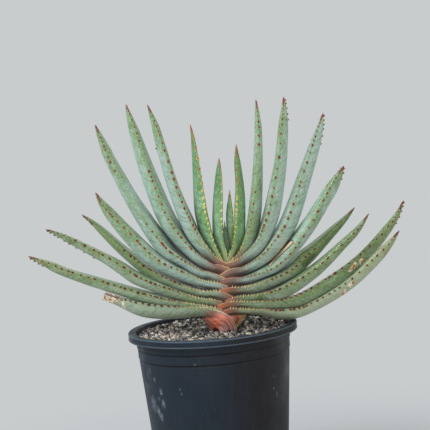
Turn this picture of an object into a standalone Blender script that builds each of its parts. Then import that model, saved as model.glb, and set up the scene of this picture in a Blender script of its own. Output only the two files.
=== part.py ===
"""A potted aloe: a two-ranked plant on a short stem, in a thin plastic nursery pot filled with grit.

The plant is a flat fan. Its leaves stand in two ranks, one each side of a short leaning stem, and every
leaf base clasps the stem. The origin is the middle of the pot's flat base, +Z is up, and the fan spreads
along X. Sizes below are in millimetres, and MM turns them into Blender's metres.
"""
from collections import namedtuple
from math import cos, pi, radians, sin

import bmesh
import bpy
import numpy as np
from mathutils import Matrix, Vector

MM = 0.001
GAP = 0.3                    # clearance left between pieces that touch on the real plant
WELD = 0.0001                 # corners closer than this are joined after a cut
SEED = 7

# Pot: a blow-moulded one-gallon nursery pot
POT_HEIGHT = 162.0
POT_BASE_RADIUS = 64.0
POT_NECK_RADIUS = 77.0       # outside of the wall just under the lip
POT_WALL = 1.8
POT_EDGE = 2.0               # bevel round the base
LIP_RADIUS = 84.5
LIP_HEIGHT = 5.0
LIP_INNER_RADIUS = 78.0
LIP_ROUNDING = 1.0
LIP_DRAFT = 0.4              # how far the lip's outside leans in towards its underside
NECK_FILLET = 0.8            # under the lip, where it meets the wall
STEP_LINES = (8.0, 18.0)     # two stacking steps, measured down from the underside of the lip
STEP_DEPTH = 0.7
FLOOR_THICKNESS = 2.2
DRAIN_HOLES = 6
DRAIN_RADIUS = 5.5
DRAIN_CIRCLE = 50.0
DRAIN_FACETS = 14
DRAIN_CUTTER = 9.0           # its length, half of it above the base
POT_FACETS = 48

# Soil: grit, level a little below the lip
SOIL_DROP = 4.5
SOIL_RELIEF = 0.9            # the grit's height above and below that level
SOIL_RINGS = 11
SOIL_CORNER = 3.0

# Stem: centre x, height z and radius, from just above the soil up to the crown
STEM_FOOT = 28.0             # length of bare stem standing in the soil
STEM_FOOT_X = 10.5
STEM_FOOT_RADIUS = 12.5
STEM_SHAPE = (
    (11.2, 163.0, 14.5),
    (12.2, 169.0, 17.5),
    (12.6, 170.5, 14.0),
    (14.5, 186.0, 12.5),
    (17.0, 205.0, 11.5),
    (18.8, 219.0, 9.5),
    (20.2, 229.0, 7.0),
    (21.4, 234.0, 6.2),
    (22.2, 237.6, 5.0),
)
STEM_FACETS = 20
STEM_LEAN = 0.13             # how far the stem leans along X for each unit of height
COLLAR = 3.2                 # how far a leaf base stands out round the stem that it clasps
COLLAR_SHARE = 0.2           # the share of a leaf's length over which its collar narrows to the blade
COLLAR_SQUARE = 1.5          # how much squarer than an ellipse the underside is at the collar
CROWN_ROOT = 5.0             # a leaf no thicker than this at its root stands on the crown, with no collar
CROWN_WIDTH = 0.7            # its width there, as a share of its greatest width

# Leaf outlines
CURVE_STEPS = 16             # steps between two of a leaf's points
LEAF_STEPS = 120             # even steps along a whole leaf, from which its stations are picked
LEAF_STATIONS = 15
SMALL_STATIONS = 7           # stations of a leaf shorter than SMALL_LENGTH
SMALL_LENGTH = 70.0
STATION_CROWDING = 1.12      # above 1, the stations lie closer together towards the tip
WIDEST = 0.22                # the share of the length from which a leaf narrows
NARROW_LATE = 1.7            # how late the narrowing sets in
NARROW_BLUNT = 0.72          # how blunt it ends
CUT_SHARE = 0.82             # the share of its narrowing that the cut leaf has reached at the cut
TIP_SHARE = 0.14             # the share of the length drawn as a full point
TIP_FULLNESS = 0.7

# Leaf sections
BASE_MARGIN_LEVEL = 0.18     # the margin's depth below the upper face, as a share of the thickness
TIP_MARGIN_LEVEL = 0.42
SHOULDER = 0.62              # where the upper face is highest, as a share of the half-width
CHANNEL = 0.10               # depth of the channel along the upper face, as a share of the thickness
UNDERSIDE_ANGLES = (30, 62, 90, 118, 150)
CROWD_GAP = 1.1              # room kept between neighbouring leaves where they crowd together
THINNEST = 0.9
TWIST_SHARE = 0.3            # the share of a leaf's length over which its twist comes in

# Teeth on the leaf margins, and along the keel near the tip
TOOTH_HEIGHT = 2.2
TOOTH_RADIUS = 1.3
TOOTH_SUNK = 1.5
TOOTH_FACETS = 3
TOOTH_SPACING = 14.0
TOOTH_START = 28.0           # first tooth, measured along the leaf from the stem's axis
TOOTH_END = 8.0              # last tooth, measured back from the tip
CUT_TOOTH_END = 16.0         # last tooth of the cut leaf, measured back from the cut
TOOTH_LEAN = 0.35            # how far a tooth leans towards the tip
KEEL_TEETH = 3
KEEL_END = 12.0
KEEL_SPACING = 9.0

# Skin colours, from the oldest leaves at the bottom to the youngest in the middle
OLIVE = (0.26, 0.36, 0.17)
GREY_GREEN = (0.36, 0.50, 0.43)
FRESH_GREEN = (0.15, 0.33, 0.15)
OLIVE_PAIRS = 4              # how many pairs of leaves, counted from the outside of the fan
GREY_GREEN_PAIRS = 8

LEFT, RIGHT = -1, 1
NEAR, FAR = -1, 1            # the margin on the -Y side and the one on the +Y side

# One row a leaf. Each point is the middle of the leaf's thickness and that thickness: (x, y, z, thick),
# from the stem's axis out to the tip. width is its greatest half-width, and twist turns its near margin
# down, in degrees. The first leaf was cut short, so its last point keeps a thickness.
Leaf = namedtuple("Leaf", "name side width twist points")
LEAVES = (
    Leaf("leaf_left_01", LEFT, 13.0, 0, (
        (13, 0, 173, 7), (-11, 0, 179.5, 6.8), (-39, -1, 181, 12.3), (-67, -2, 186, 14), (-92, -3, 197.5, 9.5),
        (-105, -4, 203.5, 7.5))),
    Leaf("leaf_left_02", LEFT, 12.0, 0, (
        (14, 0, 181, 7), (-11, 0, 184.5, 5), (-33, 0, 189.5, 7.6), (-54, 1, 195, 10.9), (-96, 2, 211, 10.9),
        (-138, 4, 227.5, 9.7), (-160, 5, 239, 8.4), (-178, 6, 248, 0))),
    Leaf("leaf_left_03", LEFT, 12.0, 0, (
        (15, 0, 188.5, 7), (-10, 0, 190.5, 6.5), (-30, -1, 198.5, 7.8), (-68, -4, 217.5, 12), (-85, -6, 230, 12.4),
        (-102, -8, 242.5, 9.9), (-138, -12, 265.5, 6), (-156, -14, 275.5, 0))),
    Leaf("leaf_left_04", LEFT, 12.0, 4, (
        (16, 0, 195.5, 7), (-10, 0, 197.5, 7.5), (-26, 1, 205, 9.8), (-58, 4, 222, 11.6), (-84, 8, 247, 10.4),
        (-108, 13, 273, 6.8), (-122, 15, 285, 0))),
    Leaf("leaf_left_05", LEFT, 13.0, 0, (
        (17, 0, 203, 7), (-9, 0, 208.5, 9), (-24, -1, 217.5, 12.9), (-53, -3, 237, 16.4), (-76, -6, 264, 15.1),
        (-96, -9, 292.5, 10), (-104, -11, 307.5, 0))),
    Leaf("leaf_left_06", LEFT, 13.5, 10, (
        (18, 0, 210.5, 7), (-7, 0, 218, 10), (-25, 0, 232.5, 12.3), (-42, -1, 248.5, 17), (-65, -2, 288.5, 14.4),
        (-84, -4, 331, 11.2), (-92, -5, 352.5, 9.1), (-99, -6, 374, 0))),
    Leaf("leaf_left_07", LEFT, 13.5, 8, (
        (19, 0, 217.5, 7), (3, 0, 222.5, 9), (-14, 1, 238.5, 11.9), (-27, 2, 257.5, 16.3), (-38, 3, 278.5, 17.9),
        (-52, 5, 323, 15.1), (-63, 8, 368, 9.3), (-68, 10, 391, 0))),
    Leaf("leaf_left_08", LEFT, 12.0, 0, (
        (19.5, 0, 224, 6), (8, 0, 228, 8), (-5, -1, 245, 11.1), (-14, -1, 265, 15.4), (-27, -4, 306, 11.8),
        (-36, -6, 348, 9.9), (-40, -8, 369, 7.6), (-46, -9, 389.5, 0))),
    Leaf("leaf_left_09", LEFT, 10.5, 0, (
        (17.5, 0, 231, 4), (10, 0, 235, 6), (4, 0, 249, 9.4), (1, 1, 265.5, 13.5), (-2, 2, 282.5, 13),
        (-3, 4, 316, 8.8), (-4, 6, 350, 4.6), (-6, 7, 366.5, 0))),
    Leaf("leaf_left_10", LEFT, 8.0, 0, (
        (20, 0, 238, 4), (16, 0, 244, 8), (14, 1, 258.5, 11), (14, 1, 271, 10.5), (16.5, 2, 295, 9.6),
        (19, 3, 319, 5.6), (20, 4, 331, 0))),
    Leaf("leaf_spear", LEFT, 4.2, 0, (
        (22.5, 0, 239, 4.5), (24, 0, 246, 5.5), (25.5, 0, 262, 7.6), (26.5, 1, 278, 6.8), (28, 1, 298.5, 0))),
    Leaf("leaf_right_09", RIGHT, 9.0, 0, (
        (25, 0, 238, 4), (30, 0, 243.5, 8), (34, 0, 258.5, 10.3), (36.5, -1, 280, 11.5), (38, -2, 301, 9.2),
        (37.5, -3, 329, 6.2), (38, -3, 343.5, 0))),
    Leaf("leaf_right_08", RIGHT, 11.5, 0, (
        (22, 0, 229, 5), (35, 0, 236, 9), (44, 0, 251, 11.7), (50, 1, 269.5, 14), (56, 2, 308, 11.6),
        (60, 4, 347, 8.9), (61, 5, 366.5, 6.6), (61, 6, 386, 0))),
    Leaf("leaf_right_07", RIGHT, 13.0, 0, (
        (19.5, 0, 221, 7), (37, 0, 228.5, 9), (53, -1, 242, 12.3), (63, -1, 261, 16.2), (70, -3, 281.5, 16.6),
        (80, -5, 323, 13.1), (86, -8, 365.5, 9.2), (88, -9, 386.5, 0))),
    Leaf("leaf_right_06", RIGHT, 13.5, 0, (
        (18.5, 0, 214, 7), (38, 0, 218, 9), (58, 1, 229, 11.9), (73, 2, 245, 16.5), (85, 3, 264, 18.4),
        (103, 6, 305, 15), (120, 9, 346, 9.4), (127, 11, 367, 0))),
    Leaf("leaf_right_05", RIGHT, 13.0, 10, (
        (17.5, 0, 206.5, 7), (36, 0, 208, 8.5), (54, -1, 214.5, 10.4), (71, -2, 223.5, 13.1), (98, -4, 251, 14.5),
        (121, -7, 282, 13), (132, -8, 297.5, 10.9), (142, -10, 314, 0))),
    Leaf("leaf_right_04", RIGHT, 12.5, 6, (
        (16.5, 0, 199, 7), (30, 0, 197.5, 8.5), (48, 1, 200, 12.7), (82, 4, 213, 15.5), (97, 6, 224, 17),
        (111, 8, 234.5, 13.5), (139, 12, 257.5, 6.5), (152, 14, 270, 0))),
    Leaf("leaf_right_03", RIGHT, 12.0, 0, (
        (15.5, 0, 191.5, 7), (30, 0, 189.5, 6), (50, -1, 190, 8.4), (69, -2, 193.5, 13), (105, -5, 212, 11.7),
        (136, -9, 237, 9.1), (151, -11, 250.5, 6.7), (163, -13, 265.5, 0))),
    Leaf("leaf_right_02", RIGHT, 12.0, 0, (
        (14.5, 0, 184.5, 7), (29, 0, 183.5, 6), (55, 1, 181.5, 7.5), (81, 2, 182.5, 9), (105, 3, 190.5, 10.2),
        (150, 6, 216, 9.6), (187, 9, 252, 9), (201, 11, 273.5, 0))),
    Leaf("leaf_right_01", RIGHT, 12.0, 0, (
        (13.5, 0, 177, 7), (24, 0, 177, 6), (48, -1, 174.5, 6), (72, -2, 170.5, 11.3), (96, -3, 174, 10.7),
        (139, -6, 196, 11.2), (176, -9, 228, 10.3), (192, -11, 246, 0))),
)

# A bud too small for teeth, on the front edge of the crown
BUD = Leaf("leaf_bud", LEFT, 2.2, 0, (
    (22.5, -5, 237.2, 2.2), (22, -8.3, 246, 3.4), (20.5, -9.3, 257, 3.4), (21, -9, 271, 0)))


def make_material(name, colour, roughness):
    material = bpy.data.materials.new(name)
    material.use_nodes = True
    shader = material.node_tree.nodes["Principled BSDF"]
    shader.inputs["Base Color"].default_value = (*colour, 1.0)
    shader.inputs["Roughness"].default_value = roughness
    shader.inputs["Metallic"].default_value = 0.0
    return material


def add_object(name, mesh, collection, material=None):
    thing = bpy.data.objects.new(name, mesh)
    if material:
        mesh.materials.append(material)
    collection.objects.link(thing)
    return thing


def mesh_from(bm, name):
    bmesh.ops.recalc_face_normals(bm, faces=bm.faces)
    mesh = bpy.data.meshes.new(name)
    bm.to_mesh(mesh)
    bm.free()
    return mesh


def evaluated_mesh(thing):
    return bpy.data.meshes.new_from_object(thing.evaluated_get(bpy.context.evaluated_depsgraph_get()))


def swap_mesh(thing, mesh):
    plain = thing.data
    thing.modifiers.clear()
    thing.data = mesh
    bpy.data.meshes.remove(plain)


def boolean(thing, operation, tool, solver="EXACT"):
    """Joins or cuts with an object or a collection, and applies the result at once."""
    modifier = thing.modifiers.new(operation.lower(), "BOOLEAN")
    modifier.operation = operation
    modifier.solver = solver
    if isinstance(tool, bpy.types.Collection):
        modifier.operand_type = "COLLECTION"
        modifier.collection = tool
    else:
        modifier.object = tool
    joined = evaluated_mesh(thing)
    bm = bmesh.new()
    bm.from_mesh(joined)
    bmesh.ops.remove_doubles(bm, verts=bm.verts, dist=WELD * MM)
    bmesh.ops.dissolve_degenerate(bm, edges=bm.edges, dist=WELD * MM)
    bm.to_mesh(joined)
    bm.free()
    swap_mesh(thing, joined)


def turned(name, profile, collection, material):
    """A turned piece: a half-section of (radius, height) corners carried round the Z axis."""
    bm = bmesh.new()
    corners = [bm.verts.new((radius * MM, 0.0, height * MM)) for radius, height in profile]
    for start, end in zip(corners, corners[1:]):
        bm.edges.new((start, end))
    mesh = bpy.data.meshes.new(name)
    bm.to_mesh(mesh)
    bm.free()
    thing = add_object(name, mesh, collection, material)
    screw = thing.modifiers.new("turn", "SCREW")
    screw.steps = POT_FACETS
    screw.render_steps = POT_FACETS
    screw.use_merge_vertices = True
    screw.merge_threshold = 0.00001
    swap_mesh(thing, evaluated_mesh(thing))
    return thing


def loft(rings, name):
    """A closed skin over rings of points. A ring of one point closes the skin to a tip."""
    bm = bmesh.new()
    loops = [[bm.verts.new(Vector(point) * MM) for point in ring] for ring in rings]
    for low, high in zip(loops, loops[1:]):
        for i, corner in enumerate(low):
            following = low[(i + 1) % len(low)]
            if len(high) == 1:
                bm.faces.new((corner, following, high[0]))
            else:
                bm.faces.new((corner, following, high[(i + 1) % len(high)], high[i]))
    for end in (loops[0], loops[-1]):
        if len(end) > 1:
            bm.faces.new(end)
    return mesh_from(bm, name)


def wall_radius(height):
    """Outside radius of the pot's tapering wall at a height."""
    neck = POT_HEIGHT - LIP_HEIGHT
    return POT_BASE_RADIUS + (POT_NECK_RADIUS - POT_BASE_RADIUS) * height / neck


def soil_level():
    return POT_HEIGHT - SOIL_DROP


def pot_profile():
    """From the middle of the floor inside, up the inner wall, over the lip, and down the outside to the base."""
    neck = POT_HEIGHT - LIP_HEIGHT
    corner = FLOOR_THICKNESS + POT_EDGE
    inner = [
        (0.0, FLOOR_THICKNESS),
        (wall_radius(corner) - POT_WALL - POT_EDGE, FLOOR_THICKNESS),
        (wall_radius(corner) - POT_WALL, corner),
        (wall_radius(neck) - POT_WALL, neck),
    ]
    lip = [
        (LIP_INNER_RADIUS - LIP_ROUNDING, POT_HEIGHT - LIP_ROUNDING),
        (LIP_INNER_RADIUS, POT_HEIGHT),
        (LIP_RADIUS - LIP_ROUNDING, POT_HEIGHT),
        (LIP_RADIUS, POT_HEIGHT - LIP_ROUNDING),
        (LIP_RADIUS - LIP_DRAFT, neck),
        (POT_NECK_RADIUS + NECK_FILLET, neck),
        (POT_NECK_RADIUS, neck - NECK_FILLET),
    ]
    outer = []
    for drop in STEP_LINES:
        height = neck - drop
        outer.append((wall_radius(height) + STEP_DEPTH / 2, height))
        outer.append((wall_radius(height) - STEP_DEPTH / 2, height - STEP_DEPTH))
    outer += [(wall_radius(POT_EDGE), POT_EDGE), (POT_BASE_RADIUS - POT_EDGE, 0.0), (0.0, 0.0)]
    return inner + lip + outer


def make_pot(collection, cutters):
    black = make_material("black_polypropylene", (0.016, 0.018, 0.022), 0.42)
    pot = turned("pot", pot_profile(), collection, black)
    for i in range(DRAIN_HOLES):
        angle = 2 * pi * (i + 0.5) / DRAIN_HOLES
        bm = bmesh.new()
        bmesh.ops.create_cone(bm, cap_ends=True, segments=DRAIN_FACETS, radius1=DRAIN_RADIUS * MM,
                              radius2=DRAIN_RADIUS * MM, depth=DRAIN_CUTTER * MM)
        drain = add_object(f"drain_cutter_{i + 1}", mesh_from(bm, "drain"), cutters)
        drain.location = (DRAIN_CIRCLE * MM * cos(angle), DRAIN_CIRCLE * MM * sin(angle), 0.0)
    boolean(pot, "DIFFERENCE", cutters)


def stem_radius(height):
    """The stem's radius at a height, from its own shape."""
    return float(np.interp(height, [row[1] for row in STEM_SHAPE], [row[2] for row in STEM_SHAPE]))


def stem_rings(grow):
    """Level rings from the foot to the crown, all grown by the same amount."""
    foot = (STEM_FOOT_X, soil_level() - STEM_FOOT, STEM_FOOT_RADIUS)
    ground = (STEM_FOOT_X, soil_level() + SOIL_RELIEF + GAP, STEM_FOOT_RADIUS)
    rows = [foot, ground, *STEM_SHAPE]
    rings = []
    for row in rows:
        x, z, radius = row
        lift = -grow if row is rows[0] else grow if row is rows[-1] else 0.0
        turns = [2 * pi * k / STEM_FACETS for k in range(STEM_FACETS)]
        rings.append([(x + (radius + grow) * cos(turn), (radius + grow) * sin(turn), z + lift) for turn in turns])
    return rings


def make_stem(collection, cutters):
    red = make_material("stem_sheath", (0.42, 0.13, 0.07), 0.55)
    add_object("stem", loft(stem_rings(0.0), "stem"), collection, red)
    return add_object("stem_cutter", loft(stem_rings(GAP), "stem_cutter"), cutters)


def make_soil(collection, stem_cutter):
    """A tapering plug of grit. Its top has a small seeded relief, and a plain hole for the stem."""
    low = FLOOR_THICKNESS + GAP
    high = soil_level()
    inset = POT_WALL + GAP
    rim = wall_radius(high) - inset
    profile = [(rim * i / SOIL_RINGS, high) for i in range(SOIL_RINGS + 1)]
    profile += [(wall_radius(low + SOIL_CORNER) - inset, low + SOIL_CORNER)]
    profile += [(wall_radius(low) - inset - SOIL_CORNER, low), (0.0, low)]
    grit = make_material("dark_grit", (0.045, 0.042, 0.04), 0.9)
    soil = turned("soil", profile, collection, grit)
    draw = np.random.default_rng(SEED)
    for vert in soil.data.vertices:
        on_top = abs(vert.co.z - high * MM) < GAP * MM
        clear_of_wall = vert.co.xy.length < (rim - GAP) * MM
        if on_top and clear_of_wall:
            vert.co.z += draw.uniform(-SOIL_RELIEF, SOIL_RELIEF) * MM
    boolean(soil, "DIFFERENCE", stem_cutter)


def smooth_curve(points):
    """Rows at even steps along a smooth curve through the given points, and the curve's length."""
    knots = np.array(points, float)
    padded = np.vstack([2 * knots[0] - knots[1], knots, 2 * knots[-1] - knots[-2]])
    rows = []
    for a, b, c, d in zip(padded, padded[1:], padded[2:], padded[3:]):
        for t in np.linspace(0, 1, CURVE_STEPS, endpoint=False):
            bend = (2 * a - 5 * b + 4 * c - d) * t ** 2 + (3 * b - a - 3 * c + d) * t ** 3
            rows.append(b + 0.5 * ((c - a) * t + bend))
    rows = np.array([*rows, knots[-1]])
    steps = np.r_[0, np.cumsum(np.linalg.norm(np.diff(rows[:, :3], axis=0), axis=1))]
    even = np.linspace(0, steps[-1], LEAF_STEPS + 1)
    return np.stack([np.interp(even, steps, rows[:, k]) for k in range(rows.shape[1])], -1), steps[-1]


def is_cut(leaf):
    return leaf.points[-1][3] > 0


def clasps_stem(leaf):
    return leaf.points[0][3] > CROWN_ROOT


def round_tip(leaf, thickness):
    """Draws the last stretch to the tip as a full point instead of a straight wedge."""
    if is_cut(leaf):
        return thickness
    last = int((1 - TIP_SHARE) * LEAF_STEPS)
    full = thickness[last]
    for i in range(last, LEAF_STEPS + 1):
        thickness[i] = full * (1 - (i - last) / (LEAF_STEPS - last)) ** TIP_FULLNESS
    return thickness


def half_widths(leaf, line):
    """Wide where the leaf clasps the stem, then the blade's own width, narrowing to the tip."""
    widths = []
    for i in range(LEAF_STEPS + 1):
        along = i / LEAF_STEPS
        beyond = max(0.0, along - WIDEST) / (1 - WIDEST)
        if is_cut(leaf):
            beyond *= CUT_SHARE
        blade = leaf.width * (1 - beyond ** NARROW_LATE) ** NARROW_BLUNT
        if clasps_stem(leaf):
            hold = max(0.0, 1 - along / COLLAR_SHARE)
            hold = hold * hold * (3 - 2 * hold)
            blade += (stem_radius(line[i][2]) + COLLAR - blade) * hold
        else:
            blade *= CROWN_WIDTH + (1 - CROWN_WIDTH) * min(1.0, along / COLLAR_SHARE)
        widths.append(blade)
    return widths


def crowd_limit(line, thickness, others):
    """Thins a leaf where its neighbours in the fan leave too little room, sharing the space between them."""
    allowed = list(thickness)
    in_fan = [0, 2]
    for other_line, other_thickness in others:
        for i, spot in enumerate(line):
            away = np.linalg.norm(other_line[:, in_fan] - spot[in_fan], axis=1)
            near = int(np.argmin(away))
            share = thickness[i] / max(GAP, thickness[i] + other_thickness[near])
            allowed[i] = min(allowed[i], 2 * (away[near] - CROWD_GAP) * share)
    return [max(value, THINNEST) for value in allowed]


def leaf_frames(leaf, line):
    """Across and up directions at each step. At the stem the section stands along the stem."""
    ahead = np.gradient(line, axis=0)
    ahead /= np.linalg.norm(ahead, axis=1)[:, None]
    frames = []
    for i, forward in enumerate(ahead):
        across = np.array([0.0, 1.0, 0.0]) - forward * forward[1]
        across /= np.linalg.norm(across)
        up = np.cross(forward, across) * leaf.side
        turn = radians(leaf.twist) * min(1.0, i / LEAF_STEPS / TWIST_SHARE)
        turned_across = across * cos(turn) + up * sin(turn)
        frames.append((turned_across, up * cos(turn) - across * sin(turn)))
    frames[0] = (np.array([0.0, 1.0, 0.0]), np.array([STEM_LEAN, 0.0, 1.0]))
    return frames


def leaf_section(half_width, thickness, along, clasps):
    """Ten points round a section: margins, two shoulders, a channel between them and a full underside."""
    blunt = max(0.0, 1 - along / COLLAR_SHARE) if clasps else 0.0
    level = (BASE_MARGIN_LEVEL + (TIP_MARGIN_LEVEL - BASE_MARGIN_LEVEL) * along) * (1 - blunt)
    margin = thickness * (0.5 - level)
    points = [
        (-half_width, margin),
        (-SHOULDER * half_width, thickness / 2),
        (0.0, thickness * (0.5 - CHANNEL)),
        (SHOULDER * half_width, thickness / 2),
        (half_width, margin),
    ]
    full = 1.0 / (1.0 + COLLAR_SQUARE * blunt)
    for angle in UNDERSIDE_ANGLES:
        reach = abs(cos(radians(angle))) ** full * half_width
        depth = sin(radians(angle)) ** full * thickness * (1 - level)
        points.append((reach if angle < 90 else -reach, margin - depth))
    return points, margin


def leaf_shapes():
    """Each leaf's line, directions, thickness and half-width at every fine step, thinned where leaves crowd."""
    drawn = {}
    for leaf in (*LEAVES, BUD):
        rows, length = smooth_curve(leaf.points)
        rows[0][0] += leaf.side * GAP
        drawn[leaf.name] = (rows[:, :3], round_tip(leaf, rows[:, 3]), length)
    shapes = {}
    for i, leaf in enumerate(LEAVES):
        line, thickness, length = drawn[leaf.name]
        beside = [LEAVES[k].name for k in (i - 1, i + 1) if 0 <= k < len(LEAVES)]
        allowed = crowd_limit(line, thickness, [drawn[name][:2] for name in beside])
        shapes[leaf.name] = (line, leaf_frames(leaf, line), allowed, half_widths(leaf, line), length)
    line, thickness, length = drawn[BUD.name]
    shapes[BUD.name] = (line, leaf_frames(BUD, line), thickness, half_widths(BUD, line), length)
    return shapes


def leaf_blade(leaf, shape):
    line, frames, thickness, widths, length = shape
    stations = LEAF_STATIONS if length > SMALL_LENGTH else SMALL_STATIONS
    rings = []
    for k in range(stations):
        along = 1 - (1 - k / (stations - 1)) ** STATION_CROWDING
        i = round(along * LEAF_STEPS)
        if k == stations - 1 and not is_cut(leaf):
            rings.append([tuple(line[-1])])
            continue
        across, up = frames[i]
        points, _ = leaf_section(widths[i], thickness[i], along, clasps_stem(leaf))
        rings.append([tuple(line[i] + across * side + up * rise) for side, rise in points])
    return loft(rings, leaf.name)


def tooth(spot, outward, forward, number, collection):
    """A short three-sided spine that leans towards the tip, sunk into the skin."""
    aim = Vector(outward) + Vector(forward) * TOOTH_LEAN
    aim.normalize()
    bm = bmesh.new()
    depth = TOOTH_HEIGHT + TOOTH_SUNK
    bmesh.ops.create_cone(bm, cap_ends=True, segments=TOOTH_FACETS, radius1=TOOTH_RADIUS * MM, radius2=0.0,
                          depth=depth * MM)
    middle = Vector(spot) + aim * (depth / 2 - TOOTH_SUNK)
    turn = aim.to_track_quat("Z", "Y").to_matrix().to_4x4()
    bmesh.ops.transform(bm, matrix=Matrix.Translation(middle * MM) @ turn, verts=bm.verts)
    add_object(f"tooth_{number}", mesh_from(bm, "tooth"), collection)


def add_teeth(blade, leaf, shape, collection):
    """Teeth along both margins out to the tip, and a few down the keel behind it, fused to the blade."""
    line, frames, thickness, widths, length = shape
    last = length - (CUT_TOOTH_END if is_cut(leaf) else TOOTH_END)
    count = max(1, round((last - TOOTH_START) / TOOTH_SPACING))
    spacing = (last - TOOTH_START) / count
    number = 0
    for side in (NEAR, FAR):
        offset = 0.0 if side == NEAR else spacing / 2
        for k in range(count + 1):
            reach = TOOTH_START + offset + k * spacing
            if reach > last + GAP:
                continue
            along = reach / length
            i = round(along * LEAF_STEPS)
            across, up = frames[i]
            _, margin = leaf_section(widths[i], thickness[i], along, clasps_stem(leaf))
            forward = line[min(i + 1, LEAF_STEPS)] - line[i - 1]
            forward = forward / np.linalg.norm(forward)
            number += 1
            tooth(line[i] + across * side * widths[i] + up * margin, across * side, forward, number, collection)
    keel = KEEL_TEETH if length > SMALL_LENGTH and not is_cut(leaf) else 0
    for k in range(keel):
        i = round((1 - (KEEL_END + k * KEEL_SPACING) / length) * LEAF_STEPS)
        across, up = frames[i]
        forward = line[i + 1] - line[i - 1]
        forward = forward / np.linalg.norm(forward)
        number += 1
        tooth(line[i] - up * thickness[i] / 2, -up, forward, number, collection)
    boolean(blade, "UNION", collection, "MANIFOLD")
    for spine in list(collection.objects):
        bpy.data.objects.remove(spine, do_unlink=True)


def skin_colour(leaf):
    """The two ranks pair up from the outside of the fan, so a leaf's age is its distance from either end."""
    if leaf is BUD:
        return FRESH_GREEN
    place = LEAVES.index(leaf)
    pair = min(place, len(LEAVES) - 1 - place)
    if pair < OLIVE_PAIRS:
        return OLIVE
    return GREY_GREEN if pair < GREY_GREEN_PAIRS else FRESH_GREEN


def make_leaves(collection, stem_cutter):
    teeth = bpy.data.collections.new("teeth")
    bpy.context.scene.collection.children.link(teeth)
    shapes = leaf_shapes()
    for leaf in (*LEAVES, BUD):
        green = make_material(f"{leaf.name}_skin", skin_colour(leaf), 0.45)
        blade = add_object(leaf.name, leaf_blade(leaf, shapes[leaf.name]), collection, green)
        boolean(blade, "DIFFERENCE", stem_cutter)
        if leaf is not BUD:
            add_teeth(blade, leaf, shapes[leaf.name], teeth)
    bpy.data.collections.remove(teeth)


def build():
    for thing in list(bpy.data.objects):
        bpy.data.objects.remove(thing, do_unlink=True)
    plant = bpy.data.collections.new("potted_aloe")
    cutters = bpy.data.collections.new("cutters")
    bpy.context.scene.collection.children.link(plant)
    bpy.context.scene.collection.children.link(cutters)
    make_pot(plant, cutters)
    stem_cutter = make_stem(plant, cutters)
    make_soil(plant, stem_cutter)
    make_leaves(plant, stem_cutter)
    for cutter in cutters.objects:
        cutter.hide_render = True
        cutter.display_type = "WIRE"


build()
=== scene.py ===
"""A potted aloe: a two-ranked plant on a short stem, in a thin plastic nursery pot filled with grit.

It is drawn from top to bottom in this order: the pot, the grit, the stem, the leaves, then the camera, the
lights and the floor. Sizes are in millimetres unless a name says otherwise, and MM turns them into metres.
"""
from collections import namedtuple
from math import cos, hypot, pi, radians, sin

import bmesh
import bpy
import numpy as np
from mathutils import Matrix, Vector, noise


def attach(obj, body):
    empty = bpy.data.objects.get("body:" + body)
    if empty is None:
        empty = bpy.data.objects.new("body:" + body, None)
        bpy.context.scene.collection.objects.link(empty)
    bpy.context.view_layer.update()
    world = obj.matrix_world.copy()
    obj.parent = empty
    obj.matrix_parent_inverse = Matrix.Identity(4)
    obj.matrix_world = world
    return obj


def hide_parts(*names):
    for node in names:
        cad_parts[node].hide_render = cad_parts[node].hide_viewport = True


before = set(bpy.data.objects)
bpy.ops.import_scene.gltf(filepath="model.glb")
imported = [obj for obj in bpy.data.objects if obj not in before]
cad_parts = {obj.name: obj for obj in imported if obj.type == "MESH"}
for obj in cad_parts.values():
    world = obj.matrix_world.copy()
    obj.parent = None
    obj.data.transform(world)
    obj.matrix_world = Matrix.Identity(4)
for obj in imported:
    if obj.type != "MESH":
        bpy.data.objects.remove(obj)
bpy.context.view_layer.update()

# Pot
# A blow-moulded nursery pot of thin black polypropylene, made as one turned piece: a rolled lip, two stacking
# steps under it, a rounded foot and a floor with six drain holes. It stands on the floor.
MM = 0.001
POT_HEIGHT = 164.3
LIP_HEIGHT = 7.3
NECK_HEIGHT = POT_HEIGHT - LIP_HEIGHT
POT_BASE_RADIUS = 64.0
POT_NECK_RADIUS = 77.0
POT_WALL = 1.8
POT_FLOOR = 2.2
POT_FOOT_ROUNDING = 2.4
LIP_RADIUS = 84.5
LIP_INNER_RADIUS = 78.0
LIP_ROUNDING = 1.5
LIP_INNER_ROUNDING = 1.2
LIP_EDGE_ROUNDING = 0.7
NECK_FILLET = 0.9
LIP_GROOVE = 0.45             # depth of the line round the lip's outer side
STEP_DROPS = (8.0, 18.0)
STEP_DEPTH = 0.8
GROOVE_DEPTH = 0.9            # the moulded line under each step
GROOVE_WIDTH = 1.5
POT_STEPS = 128
DRAIN_HOLES = 6
DRAIN_RADIUS = 5.5
DRAIN_CIRCLE = 50.0
DRAIN_RING = (38.0, 59.0)     # flat part of the floor that the holes lie in
CUTTER_LENGTH = 9.0
WELD = 0.002                  # points closer than this are made one
LIME_SQUASH = 0.6             # the marks are taller than wide by this
LIME_MARKS = (
    # x, height, radius and strength of dried water marks on the wall
    (-64.0, 131.3, 1.7, 0.6),
    (-60.0, 123.0, 2.6, 0.3),
    (-54.5, 111.5, 2.9, 0.75),
    (-57.0, 104.5, 2.2, 0.5),
    (-53.0, 99.5, 3.6, 0.6),
    (-63.0, 97.0, 6.5, 0.55),
    (-58.5, 90.5, 4.0, 0.6),
    (-56.0, 86.0, 3.4, 0.7),
    (-34.0, 111.4, 1.4, 0.45),
    (-35.5, 115.5, 1.2, 0.35),
    (-19.0, 140.5, 1.3, 0.35),
    (56.0, 118.0, 1.4, 0.35),
    (55.0, 106.0, 1.3, 0.4),
    (58.0, 99.0, 2.4, 0.3),
)


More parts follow.
